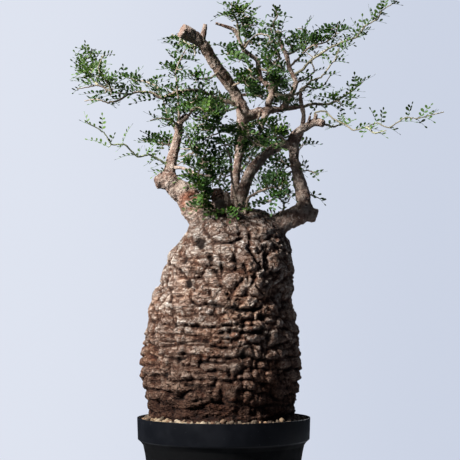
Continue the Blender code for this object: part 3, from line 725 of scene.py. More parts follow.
def ramp(value, low, high):
    """Values eased from a range to 0 to 1."""
    share = np.clip((value - low) / (high - low), 0, 1)
    return share * share * (3 - 2 * share)


# Factors that turn whole numbers, or the middle of a noise cell, into one number from 0 to 1
HASH_FACTORS = (12.9898, 78.233, 37.719)
HASH_SCALE = 437.5453


def cells(places):
    """For each place: how far the border and the middle of its noise cell are, and the cell's number."""
    found = [noise.voronoi(place) for place in places.tolist()]
    distances = np.array([near[:2] for near, _ in found])
    middles = np.array([tuple(centres[0]) for _, centres in found])
    number = np.abs(np.modf(np.sin(middles @ HASH_FACTORS) * HASH_SCALE)[0])
    return distances[:, 1] - distances[:, 0], distances[:, 0], number


def rough(places, scale):
    """Smooth noise at each place, from about -1 to 1."""
    return np.array([noise.noise(place) for place in (places * scale).tolist()])


# The joints between limbs and caudex are grown over, so the remeshed wood is eased there. Thin limbs and
# the buried root are added to it as they are.
JUNCTION_FOOT, JUNCTION_TOP = 0.338, 0.352
edges = edges_of(trunk.data)
places = relaxed(points_of(trunk.data), edges, share=0.5, rounds=2, back=0.52)
junction = ramp(places[:, 2], JUNCTION_FOOT, JUNCTION_TOP)[:, None]
places = places + junction * (relaxed(places, edges, share=0.5, rounds=9, back=0.51) - places)
wood = Growth()
wood.add(places.tolist(), [tuple(face.vertices) for face in trunk.data.polygons], [])
bpy.data.objects.remove(trunk)
for name, (points, radii) in routes.items():
    if radii[-1] <= FINE_LIMB:
        wood.add(*tube(*eased(points, radii, FINE_STEP, BEND_EASE), FINE_SIDES), [])
root_rings = [(0, ROOT_PROFILE[0][0]), *((radius, height) for height, radius in ROOT_PROFILE[1:3])]
root_top = BURIED + ROOT_LAP
root = lathe("root", [*root_rings, (ROOT_TOP_RADIUS, root_top), (0, root_top)], ROOT_SIDES)
root_faces = [tuple(face.vertices) for face in root.data.polygons]
wood.add([vertex.co for vertex in root.data.vertices], root_faces, [])
bpy.data.objects.remove(root)
trunk = wood.finished("trunk_and_limbs", [], sharp_over=180)
edges = edges_of(trunk.data)
plain, facing = points_of(trunk.data), normals_of(trunk.data)

# Which limb each point of the wood belongs to, how far along it lies, and how thick the limb is there
LIMBS_FROM, LIMBS_AT = 0.325, 0.345
spans = []
for name, (points, radii) in routes.items():
    gone = 0
    for i in range(len(points) - 1):
        length = (points[i + 1] - points[i]).length
        spans.append((*points[i], *points[i + 1], radii[i], radii[i + 1], gone, length, name == "red_stub"))
        gone += length
spans = np.array(spans)
limb_gap = np.full(len(plain), np.inf)
limb_run, limb_radius, reddened = np.zeros(len(plain)), np.zeros(len(plain)), np.zeros(len(plain))
for span in spans:
    start, step = span[:3], span[3:6] - span[:3]
    share = np.clip((plain - start) @ step / (step @ step), 0, 1)
    radius = span[6] + share * (span[7] - span[6])
    gap = np.abs(np.linalg.norm(plain - start - share[:, None] * step, axis=1) - radius)
    nearer = gap < limb_gap
    limb_gap[nearer] = gap[nearer]
    limb_run[nearer] = (span[8] + share * span[9])[nearer]
    limb_radius[nearer] = radius[nearer]
    reddened[nearer] = span[10]
left_edge = np.interp(plain[:, 2], CAUDEX_OUTLINE[:, 0], CAUDEX_OUTLINE[:, 1])
right_edge = np.interp(plain[:, 2], CAUDEX_OUTLINE[:, 0], CAUDEX_OUTLINE[:, 2])
middle, half = (left_edge + right_edge) / 2, (right_edge - left_edge) / 2
rise = np.clip((plain[:, 2] - low_ring) / (high_ring - low_ring), 0, 1)
depth_share = CAUDEX_DEPTH_SHARE + (CROWN_DEPTH_SHARE - CAUDEX_DEPTH_SHARE) * rise
from_axis = np.stack([plain[:, 0] - middle, (plain[:, 1] - CAUDEX_TOP.y * rise) / depth_share], axis=1)
above_top = np.maximum(0, plain[:, 2] - CAUDEX_TOP.z)
bottle_gap = np.abs(np.linalg.norm(from_axis, axis=1) - half) + above_top * 4
nearer_limb = ramp(bottle_gap / (bottle_gap + limb_gap + 0.0005), 0.35, 0.75)
limb_share = nearer_limb * ramp(plain[:, 2], LIMBS_FROM, LIMBS_AT)
limb_share = relaxed(limb_share[:, None].repeat(3, axis=1), edges, share=0.5, rounds=6)[:, 0]

# Knobs: rows of cushions round the caudex, wider than tall, with creases between them
KNOB_ROWS = 10
KNOBS_IN_ROW = 12
KNOB_STRAY = 0.3
KNOB_FLATNESS = 1.6
KNOB_CREASE = 0.0016
KNOB_CREASE_WIDTH = 0.35


def knob_creases(turns, heights, girths):
    """How deep each place lies in the creases between the knobs, from 0 to 1."""
    draw = random.Random(11)
    pitch = (high_ring - NECK_TOP) / KNOB_ROWS
    distances = []
    for row in range(KNOB_ROWS + 1):
        for number in range(KNOBS_IN_ROW):
            turn = (number + 0.5 * (row % 2) + draw.uniform(-KNOB_STRAY, KNOB_STRAY)) / KNOBS_IN_ROW
            height = NECK_TOP + (row + draw.uniform(-KNOB_STRAY, KNOB_STRAY)) * pitch
            across = np.abs(turns - turn % 1.0)
            across = np.minimum(across, 1 - across) * girths
            distances.append(np.hypot(across, KNOB_FLATNESS * (heights - height)))
    nearest, second = np.partition(distances, 1, axis=0)[:2]
    return np.exp(-((second - nearest) / (KNOB_CREASE_WIDTH * girths / KNOBS_IN_ROW)) ** 2)


# Ledges: the lower bark has split into rows of corky blocks. Each row swells towards its foot and hangs
# over the row below it, and the rows are broken across into blocks that stand out more or less.
LEDGE_PITCH = 0.0118
LEDGE_DEPTH = 0.0023
LEDGE_SLANT = 0.0085
LEDGE_WAVER = 0.0045
LEDGE_CREASE = 0.0020
LEDGE_CREASE_WIDTH = 0.0011
LEDGE_FOOT = 0.22
LEDGE_SHIFT = 0.010
BLOCKS_ROUND = 40
BLOCK_SWAY = 0.014
BLOCK_CREASE = 0.0029
BLOCK_CREASE_WIDTH = 0.0013
BLOCK_OFFSET = 0.0030
BLOCK_SHOULDER = 0.22


def hashed(*numbers):
    """A number from 0 to 1 that stays the same for the same whole numbers."""
    total = sum(number * factor for number, factor in zip(numbers, HASH_FACTORS))
    return np.abs(np.modf(np.sin(total) * HASH_SCALE)[0])


def ledges(places, turns, girths):
    """Relief of the rows of blocks, how deep each place lies in their creases, and each block's number."""
    slant = places[:, 2] + LEDGE_SLANT * rough(places, 22) + LEDGE_WAVER * rough(places, 58)
    rows = slant / LEDGE_PITCH
    row = np.floor(rows)
    share = rows - row
    rise = np.where(share < LEDGE_FOOT, share / LEDGE_FOOT, 1 - (share - LEDGE_FOOT) / (1 - LEDGE_FOOT))
    open_share = ramp(rough(places * (1, 1, 2.2), 42), -0.35, 0.25)
    gap = np.minimum(share, 1 - share) * LEDGE_PITCH
    row_crease = np.exp(-(gap / LEDGE_CREASE_WIDTH) ** 2) * (0.25 + 0.75 * open_share)
    swayed = turns + BLOCK_SWAY * rough(places, 45) + LEDGE_SHIFT * hashed(row)
    columns = np.mod(swayed, 1.0) * BLOCKS_ROUND
    column = np.floor(columns)
    across = columns - column
    block = hashed(row, column)
    width = girths / BLOCKS_ROUND
    left_open = hashed(row, column, 1)
    right_open = hashed(row, np.mod(column + 1, BLOCKS_ROUND), 1)
    nearer_open = np.where(across < 0.5, left_open, right_open)
    off_split = np.minimum(across, 1 - across)
    split = np.exp(-(off_split * width / BLOCK_CREASE_WIDTH) ** 2) * np.maximum(0, 1.5 * nearer_open - 0.5)
    step = BLOCK_OFFSET * (block - 0.5) * ramp(off_split, 0, BLOCK_SHOULDER)
    relief = LEDGE_DEPTH * (0.35 + 0.65 * open_share) * (rise - 0.5) + step
    relief = relief - LEDGE_CREASE * row_crease - BLOCK_CREASE * split
    return relief, np.maximum(row_crease, 0.8 * split), block


# Fissures, lumps and hollows of the caudex's front, in millimetres as seen from the front. A fissure is
# written as (half width, depth, points), a lump as (across, height, half width, half height, rise), and a
# hollow as (across, height, half width, half height, depth).
FISSURES = (
    (1.5, 3.2, ((-19, 342), (-13, 336.5), (-3, 331.5), (8, 333), (19, 338))),
    (2.4, 4.8, ((-16, 268), (0, 265.5), (12, 262), (24, 261), (38, 263))),
    (1.4, 3.2, ((-54, 243.5), (-40, 245), (-25, 242.5), (-8, 244.5))),
    (1.4, 2.8, ((0, 246), (12, 243), (30, 245), (42, 243))),
    (2.2, 4.4, ((-3, 237), (12, 239), (28, 236), (40, 238))),
    (1.5, 3.2, ((-66, 229), (-50, 227), (-30, 228.5), (-17, 228))),
    (1.2, 2.4, ((-14, 223), (0, 221.5), (14, 222.5), (26, 221))),
    (1.7, 3.4, ((-64, 212), (-50, 210), (-39, 211))),
    (1.9, 4.0, ((-28, 206), (-14, 207), (0, 205.5), (13, 207))),
    (1.1, 2.2, ((-42, 196), (-25, 195), (-8, 197), (10, 195), (30, 197))),
    (1.7, 3.4, ((-40, 182), (-26, 180), (-10, 181))),
    (1.5, 3.0, ((-52, 168), (-30, 166), (-14, 168), (0, 163))),
    (1.0, 1.8, ((-53, 279), (-57, 262), (-53, 243))),
    (1.0, 2.0, ((-43, 240), (-40, 226), (-45, 212), (-43, 200), (-47, 188))),
    (1.0, 1.8, ((17, 240), (20, 230), (15, 219), (17, 208))),
    (1.1, 2.2, ((38, 236), (42, 220), (37, 204), (38, 192))),
    (1.2, 2.2, ((1, 288), (-7, 277), (-14, 268))),
    (1.4, 3.0, ((1, 288), (5, 279), (7, 268))),
    (1.2, 2.4, ((18, 292), (12, 282), (8, 274))),
    (1.2, 2.2, ((-4, 319), (-2, 307), (-4, 296))),
    (1.8, 3.6, ((45, 327), (43, 314), (46, 303))),
    (1.4, 2.4, ((-62, 312), (-50, 305), (-41, 297))),
    (1.3, 2.4, ((-36, 301), (-22, 300), (-8, 302))),
    (1.3, 2.6, ((8, 325), (14, 312), (24, 305), (26, 294))),
    (1.4, 2.8, ((28, 338), (26, 326), (33, 316), (40, 306))),
)
LUMPS = (
    (-4, 275.5, 8, 8.5, 2.6), (17.5, 281, 7.5, 7, 2.2), (54, 314, 8, 14, 3.2), (6.5, 175, 8, 8, 3.6),
    (-7.5, 171, 5.5, 7, 2.2), (11, 348, 8, 7, 2.4), (29, 180.5, 5, 4.4, 2.0), (27, 171.5, 5, 4.4, 2.0),
    (11, 196, 4.6, 4, 1.6), (35, 193, 5, 4, 2.2), (49, 195.5, 5, 4.4, 2.0), (40, 343, 11, 8, 2.6),
    (-34, 322, 8, 7, 2.2), (-12, 348, 9, 7, 1.6), (33, 232, 8, 6, 2.2), (58, 176, 7, 8, 2.4),
    (64, 205, 7, 6, 2.0), (-24, 274, 9, 6, 1.8), (32, 329, 7, 8, 2.2), (-50, 290, 9, 8, 2.2),
)
HOLLOWS = (
    (-24, 332.5, 6.4, 5.0, 5.0), (-37.5, 289, 3.4, 4.4, 4.4), (-14, 316, 3.4, 3.2, 3.2),
    (-62, 193, 3.6, 3.6, 3.6), (40, 253, 6, 4, 3.2), (22, 215, 4, 6, 3.0), (-41, 313, 3.5, 5, 2.8),
    (48, 232, 4, 5, 2.8),
)

# How pale the sawn ends of the limbs are, and how far their middles have shrunk back
CUT_FACES = {
    "cut_limb": 1.0, "pale_stub": 0.9, "red_stub": 0.45, "right": 0.45, "left": 0.3, "right_stub": 0.35,
    "cut_limb_spur": 0.6,
}
CUT_DEPTH = 0.0008


def off_line(across, height, line):
    """Distance of each place from a line of points."""
    nearest = np.full(len(across), np.inf)
    for (x0, z0), (x1, z1) in zip(line, line[1:]):
        dx, dz = x1 - x0, z1 - z0
        share = np.clip(((across - x0) * dx + (height - z0) * dz) / (dx * dx + dz * dz), 0, 1)
        nearest = np.minimum(nearest, np.hypot(across - x0 - share * dx, height - z0 - share * dz))
    return nearest


# Relief of the bark, in metres out from the plain wood. The rows of blocks give way upwards to round knobs,
# with nubs and warts on them. Without a seed, the noise vectors follow the clock.
GNARLED_FROM, GNARLED_AT = 0.236, 0.276
KNOB_RISE = 0.0052
KNOB_OFFSET = 0.0022
KNOB_CUT = 0.0021
NUB_RISE = 0.0010
NUB_CUT = 0.0009
BURL_RISE = 0.0056
SMALL_BURL_RISE = 0.0026
WART_RISE = 0.0018
WAVE_RISE = 0.0016
GRIT_RISE = 0.0010
BARK_RISE = 0.0042
GROOVE_DEPTH = 2.0
LIMB_BURL_RISE = 0.0042
LIMB_WART_RISE = 0.0016
LIMB_RING_DEPTH = 0.0004
THICK_LIMB = 0.009
CREST_HEIGHT = 0.0016
noise.seed_set(3)
sway = np.array([tuple(noise.noise_vector(place)) for place in (plain * 38).tolist()])
gnarled = ramp(plain[:, 2] + 0.016 * sway[:, 2], GNARLED_FROM, GNARLED_AT)
bent = (plain + 0.006 * sway) * (1, 1, 1.35)
from_turn = (np.arctan2(from_axis[:, 1], from_axis[:, 0]) / math.tau) % 1.0
girth = math.tau * half
ledge_relief, ledge_crease, block_number = ledges(plain, from_turn, girth)
burl, small_burl, wart = [np.abs(rough(bent, scale)) for scale in (34, 74, 165)]
fine_sway = np.array([tuple(noise.noise_vector(place)) for place in (plain * 90).tolist()])
knob_border, knob_middle, knob_number = cells((bent + 0.0045 * fine_sway) * (46, 46, 36))
nub_border, nub_middle, nub_number = cells((plain + 0.0035 * fine_sway) * (120, 120, 150))
knob_cut = np.exp(-(knob_border / 0.10) ** 2) * (0.25 + 0.75 * ramp(rough(plain + 2.2, 48), -0.25, 0.15))
nub_cut = np.exp(-(nub_border / 0.12) ** 2) * ramp(rough(plain + 4.4, 80), -0.2, 0.25)
burl_crease = np.maximum(0.9 * knob_cut, 0.8 * nub_cut)
burl_relief = (
    KNOB_RISE * (0.45 - knob_middle * knob_middle) + KNOB_OFFSET * (knob_number - 0.5) - KNOB_CUT * knob_cut
    + BURL_RISE * (np.minimum(burl, 0.42) - 0.2) + SMALL_BURL_RISE * (np.minimum(small_burl, 0.4) - 0.18)
)
wart_relief = (
    NUB_RISE * (0.4 - nub_middle * nub_middle) - NUB_CUT * nub_cut
    + WART_RISE * (np.minimum(wart, 0.4) - 0.18)
)

# The fissures, lumps and hollows are set where they show from the front, and only on what faces it.
to_plane = -EYE.y / (plain[:, 1] - EYE.y)
across = (EYE.x + (plain[:, 0] - EYE.x) * to_plane) / MM
height = (EYE.z + (plain[:, 2] - EYE.z) * to_plane) / MM
in_front = ramp(-facing[:, 1], -0.05, 0.25)
wobble = 1.5 * rough(plain, 150)
swerve = 2.0 * rough(plain + 3.1, 75)
fissure_cut, lump_rise, calm = np.zeros(len(plain)), np.zeros(len(plain)), np.zeros(len(plain))
for half_width, depth, line in FISSURES:
    away = off_line(across + wobble + swerve, height + wobble, line)
    fissure_cut = np.maximum(fissure_cut, depth * MM * np.exp(-(away / half_width) ** 2))
fissure_cut *= 0.55 + 0.45 * ramp(rough(plain + 5.7, 110), -0.3, 0.2)
for x, z, half_width, half_height, lift in LUMPS:
    away = np.hypot((across - x + swerve) / half_width, (height - z - swerve) / half_height) + 0.16 * wobble
    lump_rise = np.maximum(lump_rise, lift * MM * np.clip(1 - away * away, 0, 1) ** 0.7)
    under = ramp((z - height) / half_height - 0.4 * (across - x) / half_width, -0.5, 0.6)
    groove = GROOVE_DEPTH * MM * under * np.exp(-((away - 1.12) / 0.15) ** 2)
    fissure_cut = np.maximum(fissure_cut, groove)
    calm = np.maximum(calm, 0.85 * ramp(away, 1.15, 0.75))
for x, z, half_width, half_height, depth in HOLLOWS:
    away = np.hypot((across - x + swerve) / half_width, (height - z - wobble) / half_height) + 0.22 * wobble
    fissure_cut = np.maximum(fissure_cut, depth * MM * np.exp(-(away ** 3)))
calm = np.maximum(calm, 0.9 * ramp(height + 4 * swerve, 328, 342))
fissure_cut, lump_rise, calm = fissure_cut * in_front, lump_rise * in_front, calm * in_front

buried = 1 - ramp(plain[:, 2], NECK_TOP - 0.006, NECK_TOP + 0.004)
crease = knob_creases(from_turn, plain[:, 2], girth)
block_relief = ledge_relief * (1 - gnarled) + burl_relief * (0.40 + 0.60 * gnarled) + wart_relief
bottle_relief = (
    block_relief * (1 - 0.85 * calm) + lump_rise - fissure_cut - 0.0004
    + WAVE_RISE * rough(plain, 20) - KNOB_CREASE * crease + GRIT_RISE * rough(plain, 330)
)
bottle_relief -= np.average(bottle_relief[buried + limb_share < 0.1]) + 0.0008
bottle_relief = np.where(bottle_relief > 0, BARK_RISE * np.tanh(bottle_relief / BARK_RISE), bottle_relief)
thickness = np.clip(limb_radius / THICK_LIMB, 0, 1)
ring_noise = np.array([
    noise.noise(Vector((run * 190, 60 * radius, 4.7))) for run, radius in zip(limb_run, limb_radius)
])
limb_burl, limb_wart = [np.abs(rough(plain + 9.1, scale)) for scale in (62, 150)]
limb_relief = thickness * (
    LIMB_BURL_RISE * (np.minimum(limb_burl, 0.4) - 0.17)
    + LIMB_WART_RISE * (np.minimum(limb_wart, 0.4) - 0.17)
    - LIMB_RING_DEPTH * np.exp(-(ring_noise / 0.07) ** 2) + GRIT_RISE * rough(plain, 300)
)
relief = (bottle_relief * (1 - limb_share) + limb_relief * limb_share) * (1 - buried)
cut_mark = np.zeros(len(plain))
for name, paleness in CUT_FACES.items():
    points, radii = routes[name]
    end, heading = np.array(points[-1]), np.array((points[-1] - points[-2]).normalized())
    off_end = plain - end
    beyond = off_end @ heading
    sideways = np.linalg.norm(off_end - beyond[:, None] * heading, axis=1)
    on_face = ramp(beyond, -0.0012, -0.0002) * (sideways < 1.25 * radii[-1])
    cut_mark = np.maximum(cut_mark, paleness * on_face)
    relief -= on_face * CUT_DEPTH * ramp(sideways / radii[-1], 1.0, 0.6)
carved = plain + facing * relief[:, None]
trunk.data.vertices.foreach_set("co", carved.ravel())
trunk.data.update()

# Marks that the material reads. The crest mark goes from 0 in the cracks to 1 on the knobs, by how far each
# place stands above the bark round it, and the run mark is how far along its limb the place lies.
lifted = relief - relaxed(relief[:, None].repeat(3, axis=1), edges, share=0.5, rounds=26)[:, 0]
crest_mark = 0.5 + 0.5 * np.clip(lifted / CREST_HEIGHT, -1, 1)
ledge_mark = ledge_crease * (1 - gnarled) + burl_crease * (0.35 + 0.65 * gnarled)
bottle_fissure = np.clip(0.7 * ledge_mark * (1 - calm) + fissure_cut / 0.0032, 0, 1)
limb_fissure = 0.5 * np.exp(-(limb_burl / 0.04) ** 2) + 0.3 * np.exp(-(ring_noise / 0.06) ** 2)
fissure_mark = bottle_fissure * (1 - limb_share) + np.clip(limb_fissure, 0, 1) * thickness * limb_share
tone_mark = 0.5 + 0.5 * (block_number - 0.5) * (1 - gnarled)
tone_mark = tone_mark + 0.5 * (knob_number - 0.5) + 0.4 * (nub_number - 0.5)
tone_mark = np.clip(tone_mark, 0, 1) * (1 - limb_share) + 0.5 * limb_share
reddened *= ramp(plain[:, 2], 0.366, 0.380)
tone_mark += (1.3 - tone_mark) * reddened
bark_marks = {
    "fissure": fissure_mark, "tone": tone_mark, "limb": limb_share * (1 - 0.8 * reddened),
    "run": np.where(limb_share > 0.5, limb_run, plain[:, 2]), "cut": cut_mark, "crest": crest_mark,
}
for mark_name, mark in bark_marks.items():
    layer = trunk.data.attributes.new(mark_name, "FLOAT", "POINT")
    layer.data.foreach_set("value", mark.astype(np.float32))


def shifted(tree, operation, place, vector):
    """Places moved, stretched or measured by a vector."""
    return put(tree, "ShaderNodeVectorMath", {0: place, 1: vector}, operation=operation).outputs


# Middle of the rusty scar on the left limb
SCAR = (-0.034, 0.0, 0.374)

bark, tree, shader = new_finish("corky_bark")
marks = {name: marked(tree, name) for name in bark_marks}
place = place_on(tree)
drift = noised(tree, place, 70.0, 5.0)
drifted = worked(tree, "ADD", marks["tone"], worked(tree, "MULTIPLY_ADD", drift, 0.9, -0.45))
cork_colour = graded(
    tree, drifted, (0.0, (0.205, 0.128, 0.090, 1)), (0.30, (0.330, 0.240, 0.190, 1)),
    (0.55, (0.440, 0.355, 0.295, 1)), (0.80, (0.530, 0.450, 0.380, 1)), (0.92, (0.360, 0.225, 0.160, 1)),
    (1.0, (0.275, 0.135, 0.085, 1)),
)
cork = apply_effect(tree, mottle, {
    "Ground": cork_colour, "Blotch": (0.175, 0.096, 0.064, 1), "Fleck": (0.52, 0.45, 0.39, 1),
    "Blotch Scale": 170.0, "Fleck Scale": 330.0, "Fleck Onset": 0.59,
})
cork_mix = mixed(tree, 0.78, cork_colour, cork["Color"])

# Hairline cracks run over the cork in a fine net, wider than tall. Patches of the cork are rusty. Its
# creases are redder as rust and darker as painted shade, and its crests paler as painted highlight.
bend = put(tree, "ShaderNodeTexNoise", {"Vector": place, "Scale": 120.0, "Detail": 3.0}).outputs["Color"]
stretched = shifted(tree, "MULTIPLY", place, (105.0, 105.0, 215.0))[0]
crazed = shifted(tree, "ADD", stretched, shifted(tree, "MULTIPLY", bend, (2.4, 2.4, 2.4))[0])[0]
net = put(tree, "ShaderNodeTexVoronoi", {"Vector": crazed, "Scale": 1.0}, feature="DISTANCE_TO_EDGE")
hairline = ramped(tree, net.outputs["Distance"], 0.0, 0.13)
cracked = mixed(tree, hairline, (0.52, 0.43, 0.39, 1), (1.17, 1.17, 1.18, 1))
cork_mix = mixed(tree, 1.0, cork_mix, cracked, "MULTIPLY")
cloudy = {"Vector": place, "Scale": 26.0, "Detail": 4.0, "Roughness": 0.6}
rust_share = ramped(tree, put(tree, "ShaderNodeTexNoise", cloudy).outputs["Fac"], 0.50, 0.66)
stained = mixed(tree, rust_share, (1.02, 1.11, 1.17, 1), (0.98, 0.87, 0.78, 1))
cork_mix = mixed(tree, 1.0, cork_mix, stained, "MULTIPLY")
# The crest mark paints shade and some rust into the creases, and a highlight onto the crests.
crest_rust_and_painted_light = graded(
    tree, marks["crest"], (0.0, (0.20, 0.110, 0.080, 1)), (0.36, (0.52, 0.37, 0.30, 1)),
    (0.62, (0.95, 0.90, 0.86, 1)), (1.0, (1.12, 1.13, 1.14, 1)),
)
cork_with_painted_light = mixed(tree, 1.0, cork_mix, crest_rust_and_painted_light, "MULTIPLY")

# The limbs are paler, and wrinkled across their run. The left one has a rusty scar near its root.
limb_bark = apply_effect(tree, mottle, {
    "Ground": (0.500, 0.420, 0.360, 1), "Blotch": (0.250, 0.165, 0.130, 1), "Fleck": (0.62, 0.55, 0.49, 1),
    "Blotch Scale": 70.0, "Fleck Scale": 300.0, "Fleck Onset": 0.58,
})
limb_with_painted_light = mixed(tree, 0.55, limb_bark["Color"], crest_rust_and_painted_light, "MULTIPLY")
skin = mixed(tree, marks["limb"], cork_with_painted_light, limb_with_painted_light)
spread = shifted(tree, "MULTIPLY", place, (46.0, 46.0, 0.0))[0]
upward = put(tree, "ShaderNodeCombineXYZ", {"Z": worked(tree, "MULTIPLY", marks["run"], 400.0)}).outputs[0]
wrinkles = noised(tree, shifted(tree, "ADD", spread, upward)[0], 1.0, 4.0)
folded = ramped(tree, wrinkles, 0.36, 0.60)
# The folds of the wrinkles are painted darker and their ridges lighter, as shade and highlight, on the
# caudex and the limbs.
painted_wrinkle_shade = mixed(tree, folded, (0.50, 0.42, 0.38, 1), (1.10, 1.08, 1.06, 1))
skin = mixed(tree, ramped(tree, marks["limb"], 0.0, 1.0, 0.55, 0.25), skin, painted_wrinkle_shade, "MULTIPLY")
on_front = shifted(tree, "MULTIPLY", place, (1.0, 0.0, 1.0))[0]
off_scar = shifted(tree, "DISTANCE", on_front, SCAR)["Value"]
scar_edge = ramped(tree, off_scar, 0.006, 0.017, 1.0, 0.0)
scar_share = worked(tree, "MULTIPLY", scar_edge, ramped(tree, drift, 0.38, 0.52))
skin = mixed(tree, scar_share, skin, (0.92, 0.52, 0.38, 1), "MULTIPLY")

# Sawn ends show their grain. The colour of the caudex is graded by height: darker and redder at the foot,
# partly from damp and partly as painted shade, lighter around its middle as painted light, and a little
# darker and bluer at its crown.
end_grain = apply_effect(tree, mottle, {
    "Ground": (0.36, 0.255, 0.205, 1), "Blotch": (0.27, 0.175, 0.135, 1), "Fleck": (0.21, 0.135, 0.10, 1),
    "Blotch Scale": 190.0, "Fleck Scale": 600.0, "Fleck Onset": 0.60,
})
skin = mixed(tree, marks["cut"], skin, end_grain["Color"])
# Light and shade are painted into the caudex by height, together with the damp at its foot.
span = {"Value": level_on(tree), "From Min": 0.150, "From Max": 0.350}
damp_and_painted_light = graded(
    tree, put(tree, "ShaderNodeMapRange", span).outputs[0], (0.0, (0.22, 0.135, 0.102, 1)),
    (0.09, (0.30, 0.195, 0.150, 1)), (0.17, (0.53, 0.415, 0.355, 1)), (0.30, (0.69, 0.60, 0.55, 1)),
    (0.46, (0.99, 0.96, 0.94, 1)), (0.58, (1.25, 1.28, 1.30, 1)), (0.72, (1.11, 1.13, 1.14, 1)),
    (0.84, (1.05, 1.07, 1.08, 1)), (1.0, (0.82, 0.89, 0.95, 1)),
)
damp_and_light_share = ramped(tree, marks["limb"], 0.0, 0.8, 1.0, 0.0)
bark_with_damp_and_painted_light = mixed(tree, damp_and_light_share, skin, damp_and_painted_light, "MULTIPLY")
# The fissures are painted near-black, as the shade deep in them.
painted_crack_shade = worked(tree, "POWER", marks["fissure"], 1.4)
feed(tree, shader.inputs["Base Color"], mixed(tree, painted_crack_shade, bark_with_damp_and_painted_light, (0.020, 0.012, 0.009, 1)))
feed(tree, shader.inputs["Roughness"], ramped(tree, marks["fissure"], 0.0, 1.0, 0.86, 0.97))
shader.inputs["Specular IOR Level"].default_value = 0.28
wrinkle_rise = ramped(tree, marks["limb"], 0.0, 1.0, 1.9, 0.7)
hairline_rise = worked(tree, "MULTIPLY", hairline, ramped(tree, marks["limb"], 0.0, 1.0, 0.5, 0.1))
corky = apply_effect(tree, grain, {
    "Height": worked(tree, "MULTIPLY_ADD", wrinkles, wrinkle_rise, hairline_rise),
    "Coarse Scale": 420.0, "Fine Scale": 1100.0, "Depth": 0.0026,
})
feed(tree, shader.inputs["Normal"], corky["Normal"])
trunk.data.materials.append(bark)
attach(trunk, "root")
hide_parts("trunk")


# The leafy stems are this plant's short shoots: thin zigzag twigs with pinnate leaves at their joints. A
# leaf has a thread-like rib with glossy leaflets in pairs and one at its tip. Each stem grows out of the
# wood on its own.

